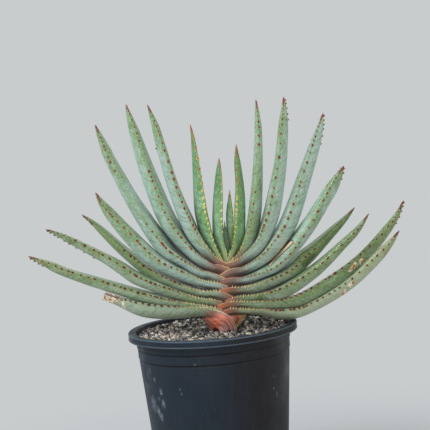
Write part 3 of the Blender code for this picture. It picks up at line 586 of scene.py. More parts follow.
# One row a leaf, from the outside of the left rank to the outside of the right. age counts the bases from the
# oldest, width is the greatest half-width, twist turns the near margin down, in degrees, and gap is the usual
# space between two teeth. margins is how high the margin lies in the thickness at four places from base to
# tip, from -0.5 at the underside to 0.5 at the top, and bloom is how much pale wax is left at four places.
# Each point is (x, y, z, thick), from the end of the clasping base out to the tip, and a cut leaf ends thick.
Leaf = namedtuple("Leaf", "name side age width twist gap margins bloom points")
LEAVES = (
    Leaf("left_01", LEFT, 0, 13.0, -6, 9.0, (0.5, 0.46, 0.43, 0.32), (0.35, 1.2, 1.2, 0.9), (
        (19.5, 0, 155, 6), (18, 0, 163.5, 7.5), (11.5, 0, 172.2, 8.8), (-2, 0, 178, 9.8),
        (-11, 0, 179.3, 9.8), (-39, -1, 181.1, 13.6), (-67, -2, 186.3, 14.8), (-92, -3, 197.5, 9.5),
        (-105, -4, 203.5, 7.5))),
    Leaf("left_02", LEFT, 2, 12.0, -2, 8.5, (0.4, 0.26, 0.3, 0.24), (0.6, 0.75, 0.35, 0.15), (
        (9.5, 0, 177.5, 7.5), (1, 0, 180.5, 7), (-11, 0, 184.5, 6), (-33, 0, 189.1, 8.8),
        (-54, 1, 195, 12.1), (-96, 2, 210.6, 11.9), (-138, 4, 227.5, 9.7), (-160, 5, 239, 8.4),
        (-178, 6, 248, 0))),
    Leaf("left_03", LEFT, 4, 12.0, -2, 8.5, (0.4, 0.2, 0.24, 0.4), (0.45, 0.7, 0.6, 0.3), (
        (10.5, 0, 185, 7.5), (0.5, 0, 188, 7.5), (-10, 0, 190.3, 7.4), (-30, -1, 197.7, 10.2),
        (-68, -4, 216.9, 13.4), (-85, -6, 230, 12.4), (-102, -8, 242.5, 9.9), (-138, -12, 265.5, 6),
        (-156, -14, 275.5, 0))),
    Leaf("left_04", LEFT, 6, 12.0, 4, 8.0, (0.42, 0.46, 0.2, -0.2), (0.85, 0.45, 0.25, 0.1), (
        (20, 0, 189.5, 7.5), (8.5, 0, 195.5, 8), (-8, 0, 198, 8), (-26, 1, 205, 9.8), (-58, 4, 222.5, 10.8),
        (-84, 8, 247, 10.4), (-108, 13, 273, 6.8), (-122, 15, 285, 0))),
    Leaf("left_05", LEFT, 8, 13.0, 0, 9.5, (0.35, 0.17, 0.17, -0.06), (0.9, 0.8, 0.4, 0.1), (
        (17, 0, 200, 7.5), (6.5, 0, 204, 8.5), (-8, 0, 208.5, 9), (-24, -1, 217.5, 12.9),
        (-53, -3, 237, 16.4), (-76, -6, 264, 15.1), (-96, -9, 292.5, 10), (-104, -11, 307.5, 0))),
    Leaf("left_06", LEFT, 10, 13.5, 10, 11.5, (0.3, 0.2, -0.02, 0.08), (0.8, 0.6, 0.7, 0.25), (
        (14, 0, 208, 7.5), (9, 0, 211, 8.5), (-0.5, 0, 215.5, 9.5), (-8, 0, 219, 10), (-25, 0, 232.5, 12.3),
        (-42, -1, 248.5, 17), (-65, -2, 288.5, 14.4), (-84, -4, 331, 11.2), (-92, -5, 352.5, 9.1),
        (-99, -6, 374, 0))),
    Leaf("left_07", LEFT, 12, 13.5, 8, 11.5, (0.36, 0.19, 0.24, 0.3), (0.9, 0.5, 0.5, 0.35), (
        (20, 0, 217.5, 7.5), (10.5, 0, 221.5, 8.5), (2.5, 0, 223.5, 9), (-14, 1, 238.5, 11.9),
        (-27, 2, 257.5, 16.3), (-38, 3, 278.5, 17.9), (-52, 5, 323, 15.1), (-63, 8, 368, 9.3),
        (-68, 10, 391, 0))),
    Leaf("left_08", LEFT, 14, 12.0, 0, 11.0, (0.3, 0.23, 0.3, 0.12), (0.6, 0.7, 0.5, 0.3), (
        (17, 0, 223.5, 7), (6.5, 0, 229, 10), (-3.5, -1, 243, 12), (-13, -1, 261, 15.4),
        (-27, -4, 306, 11.8), (-36, -6, 348, 9.9), (-40, -8, 369, 7.6), (-46, -9, 389.5, 0))),
    Leaf("left_09", LEFT, 16, 10.5, 0, 9.0, (0.35, 0.3, 0.42, 0.2), (0.4, 0.4, 0.4, 0.4), (
        (15.5, 0, 223, 5), (12, 0, 228.5, 6.5), (9, 0, 234, 8), (5.5, 0, 242, 10), (2, 1, 254, 12.5),
        (0, 1, 265.5, 13.5), (-2, 2, 282.5, 13), (-3, 4, 316, 8.8), (-4, 6, 350, 4.6), (-6, 7, 366.5, 0))),
    Leaf("left_10", LEFT, 18, 8.0, 0, 13.0, (0.4, 0.35, 0.35, 0.3), (0.55, 0.5, 0.4, 0.3), (
        (18.5, 0, 222.5, 4.5), (16.6, 0, 228, 7.5), (14.4, 0, 237, 11), (13.5, 1, 249.5, 12),
        (14, 1, 271, 10.7), (16.5, 2, 295, 9.6), (19, 3, 319, 5.6), (20, 4, 331, 0))),
    Leaf("spear", LEFT, 19, 4.2, 0, 12.0, (0.3, 0.3, 0.3, 0.2), (0.6, 0.6, 0.5, 0.3), (
        (21.5, 0, 225, 3), (23, 0, 236, 5.2), (24.4, 0, 246, 6.4), (25.6, 0, 262, 7.4), (26.5, 1, 278, 6.8),
        (28, 1, 298.5, 0))),
    Leaf("right_09", RIGHT, 17, 9.0, 0, 7.5, (0.42, 0.31, 0.31, 0.05), (0.15, 0.1, 0.05, 0.1), (
        (20.5, 0, 222.5, 4.5), (23, 0, 227, 6.5), (28, 0, 235, 10), (33, 0, 248, 11.8),
        (36.5, -1, 280, 11.5), (38, -2, 301, 9.2), (37.5, -3, 329, 6.2), (38, -3, 343.5, 0))),
    Leaf("right_08", RIGHT, 15, 11.5, 0, 14.0, (0.3, 0.16, -0.1, -0.12), (0.2, 0.25, 0.5, 0.6), (
        (21.5, 0, 223, 7), (28, 0, 226.5, 8.5), (35.8, 0, 232.5, 11), (43.6, 0, 247.5, 13.2),
        (50, 1, 269.5, 14), (56, 2, 308, 11.6), (60, 4, 347, 8.9), (61, 5, 366.5, 6.6), (61, 6, 386, 0))),
    Leaf("right_07", RIGHT, 13, 13.0, 0, 11.5, (0.34, 0.2, 0.18, 0.1), (0.8, 0.6, 0.6, 0.5), (
        (19.5, 0, 222, 8), (34, 0, 226.5, 9), (53.4, -1, 241.7, 13.6), (63, -1, 261, 16.2),
        (70, -3, 281.5, 16.6), (80, -5, 323, 13.1), (86, -8, 365.5, 9.2), (88, -9, 386.5, 0))),
    Leaf("right_06", RIGHT, 11, 13.5, 0, 10.5, (0.3, 0.14, 0.15, 0.25), (0.7, 0.7, 0.75, 0.85), (
        (13.5, 0, 211.5, 7.5), (23.5, 0, 216, 8.5), (38, 0, 218.5, 9), (57.7, 1, 229.3, 13.3),
        (72.6, 2, 245.4, 17.3), (85, 3, 264, 18.4), (103, 6, 305, 15), (120, 9, 346, 9.4),
        (127, 11, 367, 0))),
    Leaf("right_05", RIGHT, 9, 13.0, 10, 10.5, (0.25, 0.02, 0.1, 0.35), (0.9, 0.65, 0.6, 0.2), (
        (12, 0, 206, 7.5), (22, 0, 207.5, 8.5), (36, 0, 208.5, 8.8), (54, -1, 214.5, 10.8),
        (71, -2, 223.5, 13.1), (98, -4, 251, 14.5), (121, -7, 282, 13), (132, -8, 297.5, 10.9),
        (142, -10, 314, 0))),
    Leaf("right_04", RIGHT, 7, 12.5, 6, 10.0, (0.36, 0.16, 0.12, 0.1), (0.85, 0.75, 0.05, 0.0), (
        (10.5, 0, 196.5, 7.5), (21.5, 0, 198, 8.5), (31, 0, 198, 8.8), (48, 1, 200, 12.7),
        (82, 4, 213, 15.5), (97, 6, 224, 17), (111, 8, 234.5, 13.5), (139, 12, 257.5, 6.5),
        (152, 14, 270, 0))),
    Leaf("right_03", RIGHT, 5, 12.0, 0, 10.0, (0.42, 0.25, 0.16, 0.08), (0.5, 0.5, 0.3, 0.1), (
        (16.5, 0, 185.5, 7.5), (22.5, 0, 187.5, 7.5), (31, 0, 189.5, 6.5), (50, -1, 190, 8.8),
        (69, -2, 192.2, 15.8), (105, -5, 211.4, 13.2), (136, -9, 237, 9.1), (151, -11, 250.5, 6.7),
        (163, -13, 265.5, 0))),
    Leaf("right_02", RIGHT, 3, 12.0, -7, 10.5, (0.45, 0.44, 0.4, -0.05), (0.55, 0.35, 0.25, 0.15), (
        (6.5, 0, 181, 7.5), (16.5, 0, 184, 7), (29, 0, 183.8, 6.6), (55, 1, 180.2, 10),
        (81, 2, 180.9, 12.2), (105, 3, 188.9, 13.8), (150, 6, 214.9, 13.0), (187, 9, 252, 9),
        (201, 11, 273.5, 0))),
    Leaf("right_01", RIGHT, 1, 12.0, -6, 9.5, (0.45, 0.38, 0.26, 0.08), (0.6, 0.85, 0.8, 0.2), (
        (12, 0, 175.5, 7.5), (19.5, 0, 177.5, 7), (27, 0, 177, 6), (48, -1, 174.5, 7),
        (72, -2, 170.5, 11.3), (96, -3, 174, 10.7), (139, -6, 196, 11.2), (176, -9, 228, 10.3),
        (192, -11, 246, 0))),
)
BUD = Leaf("bud", LEFT, 20, 2.8, 0, 7.0, (0.2, 0.2, 0.2, 0.2), (0.1, 0.1, 0.1, 0.1), (
    (22.2, -5, 237.2, 3.4), (21, -8.2, 246, 5), (20.3, -9.3, 256, 4.6), (20.6, -9, 269.5, 0)))


def smooth_line(points):
    """Rows at even steps along a smooth curve through the points, with the length of the curve."""
    knots = np.array(points, float)
    padded = np.vstack([2 * knots[0] - knots[1], knots, 2 * knots[-1] - knots[-2]])
    rows = []
    for a, b, c, d in zip(padded, padded[1:], padded[2:], padded[3:]):
        for t in np.linspace(0, 1, CURVE_STEPS, endpoint=False):
            bend = (2 * a - 5 * b + 4 * c - d) * t ** 2 + (3 * b - a - 3 * c + d) * t ** 3
            rows.append(b + 0.5 * ((c - a) * t + bend))
    rows = np.array([*rows, knots[-1]])
    steps = np.r_[0, np.cumsum(np.linalg.norm(np.diff(rows[:, :3], axis=0), axis=1))]
    even = np.linspace(0, steps[-1], FINE_STEPS + 1)
    return np.stack([np.interp(even, steps, rows[:, k]) for k in range(4)], -1), steps[-1]


def ease(value):
    """A smooth step of an array or a number held between 0 and 1."""
    held = np.clip(value, 0, 1)
    return held * held * (3 - 2 * held)


def is_cut(leaf):
    """Whether a leaf ends thick, where it was cut short."""
    return leaf.points[-1][3] > 0


def clasps_stem(leaf):
    """Whether a leaf's base clasps the stem: the narrow ones of the crown grow straight from its tip."""
    return leaf.points[0][3] > CROWN_ROOT


def leaf_line(leaf):
    """The leaf's line, thickness, distance from the stem's axis and share of the way to the tip."""
    rows, length = smooth_line(leaf.points)
    line, thick = rows[:, :3], rows[:, 3].copy()
    if not is_cut(leaf):
        last = int((1 - TIP_SHARE) * FINE_STEPS)
        to_tip = np.arange(FINE_STEPS - last + 1) / (FINE_STEPS - last)
        thick[last:] = thick[last] * (1 - to_tip) ** TIP_FULLNESS
    axis = np.array([stem_at(spot[2])[0] for spot in line])
    crossing = int(np.argmin(np.abs(line[:BASE_STEPS, 0] - axis[:BASE_STEPS])))
    reach = np.linspace(0, length, FINE_STEPS + 1)
    from_base = reach - reach[crossing]
    along = np.clip(from_base / from_base[-1], 0, 1)
    return line, thick, from_base, along


def half_width(leaf, line, along, from_base):
    """Wide where the leaf clasps the stem, then the blade's own width, narrowing to the tip."""
    beyond = np.clip(along - WIDEST, 0, None) / (1 - WIDEST)
    if is_cut(leaf):
        beyond = beyond * CUT_SHARE
    blade = leaf.width * np.clip(1 - beyond ** NARROW_LATE, 0, 1) ** NARROW_BLUNT
    if not clasps_stem(leaf):
        return blade * (CROWN_WIDTH + (1 - CROWN_WIDTH) * np.clip(along / COLLAR_SHARE, 0, 1))
    centre = np.array([stem_at(z)[0] for z in line[:, 2]])
    radius = np.interp(line[:, 2], *zip(*CLASP_ROWS))
    clasp = radius + COLLAR + OVERLAP_STEP * (MIDDLE_AGE - leaf.age)
    if leaf.age == 0:
        clasp -= OLDEST_TUCK * ease(-from_base / OLDEST_TUCK_LENGTH)
    aside = np.where(from_base < 0, line[:, 0] - centre, 0.0)
    clasp = np.sqrt(np.maximum(clasp ** 2 - aside ** 2, LEAST_CLASP ** 2))
    share = COLLAR_SHARE if leaf.age else OLDEST_COLLAR_SHARE
    return blade + (clasp - blade) * ease(1 - along / share)


def leaf_frames(leaf, line, along):
    """Across and up directions at each step along the leaf."""
    ahead = np.gradient(line, axis=0)
    ahead /= np.linalg.norm(ahead, axis=1)[:, None]
    across = np.array([0.0, 1.0, 0.0]) - ahead * ahead[:, 1:2]
    across /= np.linalg.norm(across, axis=1)[:, None]
    up = np.cross(ahead, across) * leaf.side
    turn = np.radians(np.interp(along, (0.0, TWIST_SHARE), (BASE_TWIST, leaf.twist)))[:, None]
    return ahead, across * np.cos(turn) + up * np.sin(turn), up * np.cos(turn) - across * np.sin(turn)


def margin_level(leaf, along):
    """How high the margin lies in the leaf's thickness."""
    return np.interp(along, MARGIN_PLACES, (0.5, 0.5, *leaf.margins))


Skin = namedtuple("Skin", "points place from_margin to_keel")


def leaf_skin(leaf, line, thick, from_base, along):
    """Every point of the leaf's surface, with its place along and around the skin."""
    ahead, across, up = leaf_frames(leaf, line, along)
    width = half_width(leaf, line, along, from_base)
    clasps = clasps_stem(leaf)
    stations = 1 - (1 - np.linspace(0, 1, STATIONS + 1)) ** CROWDING
    fine = np.linspace(0, 1, FINE_STEPS + 1)

    def pick(values):
        if values.ndim == 1:
            return np.interp(stations, fine, values)
        return np.stack([np.interp(stations, fine, values[:, k]) for k in range(values.shape[1])], -1)

    line, thick, width, along, from_base = (pick(v) for v in (line, thick, width, along, from_base))
    across, up = pick(across), pick(up)
    older = min(1.0, leaf.age / SHEATHED_AGE)
    deepen = SHEATH_DEPTH * ease(1 - along / SHEATH_SHARE) * older if clasps else 0.0 * along
    line = line - up * (deepen / 2)[:, None]
    thick = thick + deepen
    blunt = np.clip(1 - along / COLLAR_SHARE, 0, 1) if clasps else 0.0 * along
    seed = leaf.age * 7.3
    ripple = np.array([noise.noise(Vector((s * RIPPLES_PER_MM, seed, 0.5))) for s in from_base])
    margin = thick * (margin_level(leaf, along) + RIPPLE_HEIGHT * ripple * (1 - blunt))
    width = width * (1 + RIPPLE_WIDTH * np.roll(ripple, 3) * (1 - blunt))
    over = np.linspace(0, pi, AROUND_TOP + 1)[:-1]
    under = np.linspace(0, pi, AROUND_UNDER + 1)[:-1]
    full = 1.0 / (1.0 + COLLAR_SQUARE * blunt)[:, None]
    side_over = -np.sign(np.cos(over)) * np.abs(np.cos(over)) ** 0.9
    bulge = np.sin(over) ** 0.8
    hollow = CHANNEL * np.clip(1 - (side_over / 0.7) ** 2, 0, 1) ** 1.5
    top_a = width[:, None] * side_over
    top_h = margin[:, None] + (thick / 2 - margin)[:, None] * bulge - thick[:, None] * hollow
    low_a = width[:, None] * np.sign(np.cos(under)) * np.abs(np.cos(under)) ** full
    low_h = margin[:, None] - (margin + thick / 2)[:, None] * np.sin(under) ** full
    a = np.hstack([top_a, low_a])
    h = np.hstack([top_h, low_h])
    ridge = MARGIN_RIDGE * np.clip(thick / RIDGED_THICKNESS, 0, 1)
    h[:, [0, AROUND_TOP]] += ridge[:, None]
    a[:, 0] -= ridge
    a[:, AROUND_TOP] += ridge
    points = line[:, None, :] + across[:, None, :] * a[:, :, None] + up[:, None, :] * h[:, :, None]
    step = np.linalg.norm(np.diff(points, axis=1, append=points[:, :1]), axis=2)
    lengths = np.hstack([np.zeros((STATIONS + 1, 1)), np.cumsum(step, axis=1)])
    far = lengths[:, AROUND_TOP:AROUND_TOP + 1]
    around = lengths[:, :-1]
    top = np.arange(AROUND) <= AROUND_TOP
    below = np.minimum(around - far, lengths[:, -1:] - around)
    from_margin = np.where(top, np.minimum(around, far - around), -below)
    to_keel = np.where(top, 0.0, below / ((lengths[:, -1:] - far) / 2))
    to_tip = from_base[-1] - from_base
    place = np.stack(np.broadcast_arrays(from_base[:, None], around, to_tip[:, None]), -1)
    return Skin(points, place, from_margin, to_keel)


NEAR_GAP = 2.7                # space between the teeth at a base
NEAR_GAP_GROWTH = 0.3         # how much wider that is for each leaf above the eighth
FIRST_TOOTH = 7.0             # distance of the first tooth from the stem's axis
FIRST_CROWN_TOOTH = 12.0
GAP_PLACES = (0.12, 0.35, 0.6, 0.82)
GAP_SHARES = (0.6, 0.8, 1.3)  # of the leaf's usual gap, at all of those places but the first
TIP_GAP = 2.6
TIP_GAP_GROWTH = 0.14         # how much wider that is for each millimetre behind the tip
EVEN_TEETH = 0.85             # share of the teeth that aren't crowded by the one before
CUT_CLEAR = 13.0              # a cut end's dry part has no teeth
POINT_CLEAR = 2.5
TOOTH_SUNK = 0.7
TOOTH_SIDES = 7
KEEL_GAP = 3.4
KEEL_TOOTH_RADIUS = 1.4
KEEL_TOOTH_FOOT = 0.6
# Leaves whose keel carries teeth, with how far behind the tip the row starts and ends
KEELED = {
    "left_02": (4.0, 18.0),
    "left_03": (3.0, 62.0),
    "left_08": (45.0, 47.0),
    "right_07": (4.0, 28.0),
    "right_06": (3.0, 34.0),
    "right_05": (3.0, 14.0),
    "right_02": (3.0, 30.0),
}
# Stretches of a leaf's margins without teeth, as distances behind the tip
BARE = {
    "left_04": (20.0, 50.0),
    "left_06": (50.0, 105.0),
    "left_07": (40.0, 70.0),
    "right_08": (54.0, 92.0),
    "right_04": (12.0, 52.0),
}


def tooth_stations(leaf, from_base, draw):
    """Distances of a margin's teeth from the stem's axis: close at the base and the tip, wide between."""
    length = from_base[-1]
    last = length - (CUT_CLEAR if is_cut(leaf) else POINT_CLEAR)
    reach = FIRST_TOOTH if clasps_stem(leaf) else FIRST_CROWN_TOOTH
    near = NEAR_GAP + NEAR_GAP_GROWTH * max(0, leaf.age - 8)
    gaps = (near, *(share * leaf.gap for share in GAP_SHARES))
    bare_from, bare_to = BARE.get(leaf.name, (0.0, 0.0))
    spots = []
    while reach < last:
        to_tip = length - reach
        if not bare_from < to_tip < bare_to:
            spots.append(reach)
        gap = min(np.interp(reach / length, GAP_PLACES, gaps), TIP_GAP + TIP_GAP_GROWTH * to_tip)
        reach += gap * (draw.uniform(0.8, 1.25) if draw.random() < EVEN_TEETH else draw.uniform(0.45, 0.65))
    return spots


def add_tooth(bm, layers, spot, aim, forward, height, radius, foot, reach, to_tip):
    """One tooth: a cone widened along the margin and bent towards the tip, its root sunk in the skin."""
    depth = height + TOOTH_SUNK
    aim = Vector(aim).normalized()
    made = bmesh.ops.create_cone(bm, cap_ends=True, segments=TOOTH_SIDES, radius1=radius * MM,
                                 radius2=0.02 * MM, depth=depth * MM)
    turn = aim.to_track_quat("Z", "Y").to_matrix()
    along = Vector(forward).normalized()
    for vert in made["verts"]:
        share = vert.co.z / (depth * MM) + 0.5
        lean = along * (0.45 * height * share * share)
        out = turn @ Vector((vert.co.x, vert.co.y, 0.0)) / MM
        out += along * (0.35 * out.dot(along))
        vert.co = (Vector(spot) + out + aim * (share * depth - TOOTH_SUNK) + lean) * MM
        vert[layers["tooth"]] = foot + (1 - foot) * share
        vert[layers["place"]] = (reach, 0.0, to_tip)
        vert[layers["from_margin"]] = 2.0


def add_teeth(bm, layers, leaf, line, thick, from_base, along):
    """Rows of teeth on both margins, and down the keel behind the tip of the leaves that have them."""
    ahead, across, up = leaf_frames(leaf, line, along)
    width = half_width(leaf, line, along, from_base)
    levels = margin_level(leaf, along)
    small = min(1.0, 0.35 + leaf.width / 15)
    for side in (-1, 1):
        draw = np.random.default_rng(SEED + leaf.age * 2 + (side > 0))
        for reach in tooth_stations(leaf, from_base, draw):
            i = int(np.argmin(np.abs(from_base - reach)))
            to_tip = from_base[-1] - reach
            grown = ease((reach - 15.0) / 50.0)
            scale = small * draw.uniform(0.8, 1.15) * (0.6 + 0.4 * ease(to_tip / 40.0))
            spot = line[i] + across[i] * side * width[i] + up[i] * (thick[i] * levels[i])
            aim = across[i] * side + up[i] * (1.7 - 1.15 * grown) + ahead[i] * 0.25
            height = (2.2 + 0.2 * grown) * scale
            radius = (0.6 + 0.85 * grown) * scale
            foot = draw.uniform(0.30, 0.56)
            add_tooth(bm, layers, spot, aim, ahead[i], height, radius, foot, reach, to_tip)
    if leaf.name in KEELED:
        to_tip, end = KEELED[leaf.name]
        draw = np.random.default_rng(SEED + 100 + leaf.age)
        while to_tip < end:
            i = int(np.argmin(np.abs(from_base[-1] - from_base - to_tip)))
            spot = line[i] - up[i] * thick[i] / 2
            aim = -up[i] + ahead[i] * 0.3
            add_tooth(bm, layers, spot, aim, ahead[i], draw.uniform(1.2, 1.6), KEEL_TOOTH_RADIUS,
                      KEEL_TOOTH_FOOT, from_base[i], to_tip)
            to_tip += (KEEL_GAP + TIP_GAP_GROWTH * to_tip) * draw.uniform(0.8, 1.25)


# Healed scars, each as a line between two places (x, z) on a leaf's near side, with its half-width and its
# strength: above 0 for tan, corky ones, below 0 for a smooth, dark olive one
SCARS = {
    "left_01": (((-87.5, 202.0), (-86.0, 190.0), 1.1, 1.0),),
    "right_04": (((96.0, 219.0), (106.0, 226.0), 2.9, -1.0),),
    "right_02": (((154.5, 218.5), (152.5, 216.0), 1.9, 1.2), ((147.5, 215.0), (141.0, 209.0), 1.6, 1.1)),
    "right_01": (((141.5, 197.5), (139.0, 195.0), 1.8, 1.2), ((133.0, 190.0), (130.5, 187.0), 1.7, 1.1)),
}
# The cut leaf's dry end: how far its colour and its shrivelled surface reach back from the cut, and the
# length they fade over. The noise that shrivels it starts from the clock, so the end's fine shape changes
# by up to about 1.5 mm from run to run.
DRY_COLOUR = (15.0, 3.0)
DRY_SURFACE = (14.0, 4.0)
SHRIVEL = 0.9


def scar_strength(leaf, spot):
    """How strongly a point of the leaf's near side is scarred, falling off round each scar's line."""
    deepest = 0.0
    if spot[1] > 0.0:
        return deepest
    for start, end, half, strength in SCARS.get(leaf.name, ()):
        a, b = Vector(start), Vector(end)
        here = Vector((spot[0], spot[2]))
        share = min(1.0, max(0.0, (here - a).dot(b - a) / (b - a).length_squared))
        away = (here - a.lerp(b, share)).length
        deepest = max(deepest, strength * float(ease(1.6 - away / half)), key=abs)
    return deepest


def leaf_bmesh(leaf, line, thick, from_base, along):
    skin = leaf_skin(leaf, line, thick, from_base, along)
    bm = bmesh.new()
    bmesh.ops.create_grid(bm, x_segments=AROUND, y_segments=STATIONS, size=0.5)
    layers = {"place": bm.verts.layers.float_vector.new("place")}
    for word in ("from_margin", "to_keel", "tooth", "scar", "age", "bloom"):
        layers[word] = bm.verts.layers.float.new(word)
    for vert in bm.verts:
        column = round((vert.co.x + 0.5) * AROUND) % AROUND
        row = round((vert.co.y + 0.5) * STATIONS)
        spot = skin.points[row, column]
        vert[layers["place"]] = skin.place[row, column]
        vert[layers["from_margin"]] = skin.from_margin[row, column]
        vert[layers["to_keel"]] = skin.to_keel[row, column]
        vert[layers["scar"]] = scar_strength(leaf, spot)
        if is_cut(leaf):
            end = skin.place[row, column][2] + 2.5 * noise.noise(Vector(spot * 0.25))
            dry, shrunk = (float(ease((reach - end) / fade)) for reach, fade in (DRY_COLOUR, DRY_SURFACE))
            vert[layers["scar"]] = max(vert[layers["scar"]], dry)
            spot = spot + SHRIVEL * np.array(noise.noise_vector(Vector(spot * 0.35))) * shrunk
        vert.co = Vector(spot) * MM
    bmesh.ops.remove_doubles(bm, verts=bm.verts, dist=WELD * MM)
    bmesh.ops.holes_fill(bm, edges=[edge for edge in bm.edges if edge.is_boundary])
    add_teeth(bm, layers, leaf, line, thick, from_base, along)
    length = from_base[-1]
    for vert in bm.verts:
        vert[layers["age"]] = leaf.age
        share = vert[layers["place"]].x / length
        vert[layers["bloom"]] = float(np.interp(share, (0.1, 0.35, 0.65, 0.9), leaf.bloom))
    return bm


Coat = namedtuple("Coat", "green olive wax base root margin margin_share spine tooth halo")
COATS = {
    # Weathered outer leaves: olive green with brown bases and dark teeth
    "olive_leaf": Coat("879f6a", "566b3d", "a8bba0", "7d5140", "c86f3e", "a9b56c", 0.32,
                       "6b2018", "6f1f17", "a9ad68"),
    # Full-grown leaves: green under a waxy blue-grey bloom, with red teeth
    "grey_green_leaf": Coat("90ae80", "667b4b", "b1cabf", "82655a", "a06a52", "a3b67a", 0.22,
                            "7a2a1e", "93291c", "aab678"),
    # Young leaves in the middle: fresh green with yellow and orange teeth
    "fresh_green_leaf": Coat("78a868", "50734a", "9ac49e", "93ae74", "a5b885", "bccb52", 0.7,
                             "8f4a2c", "bd5b28", "c9ca58"),
}
# The colour of the oldest sheath in bands towards the stem, each with the distances it lies within
SHEATH_BANDS = (
    ("8f6252", 25.0, 16.0),
    ("f28c70", 14.0, 4.0),
    ("ffb49e", 2.0, -4.0),
    ("ffdcd6", -8.0, -13.0),
)
SHEATH_VEINS = (-3.6, -7.4)   # distances of two dark veins below that sheath's margin
# Colour of the teeth near the base and of the margin of the base itself, by the leaf's age over 20
YOUNG_TEETH = ((0.0, "efdca0"), (0.43, "a8462f"), (0.63, "e8c460"), (0.78, "e4e07c"))
BASE_MARGINS = ((0.0, "f6cdc2"), (0.03, "cf8d72"), (0.5, "dcb98a"))
# A long straight score in the near side where two leaves touch, from one place (x, z) to another, with the
# half-widths of its dark edges and its pale middle, and the age of the leaves on both sides of it
SCORE = ((85.0, 243.0), (61.2, 221.4))
SCORE_LINES = ((2.3, "2c2620"), (1.0, "f6d2a4"))
SCORED_AGE = 10.0


def strongest(tree, share, *others):
    """The greatest of several shares at each place."""
    for other in others:
        share = add_node(tree, "Math", {0: share, 1: other}, operation="MAXIMUM").outputs[0]
    return share


def by_score(tree):
    """How far a place lies from the score's line, and how far along it, from 0 to 1."""
    first, last = (Vector((x, 0.0, z)) for x, z in SCORE)
    whole = last - first
    flat = millimetres(tree, (1.0, 0.0, 1.0))
    offset = add_node(tree, "VectorMath", {0: flat, 1: first}, operation="SUBTRACT").outputs[0]
    inputs = {0: offset, 1: whole / whole.length_squared}
    along = add_node(tree, "VectorMath", inputs, operation="DOT_PRODUCT").outputs["Value"]
    held = add_node(tree, "Clamp", {"Value": along}).outputs[0]
    reached = add_node(tree, "VectorMath", {0: whole, "Scale": held}, operation="SCALE").outputs[0]
    away = add_node(tree, "VectorMath", {0: offset, 1: reached}, operation="DISTANCE").outputs["Value"]
    return away, held


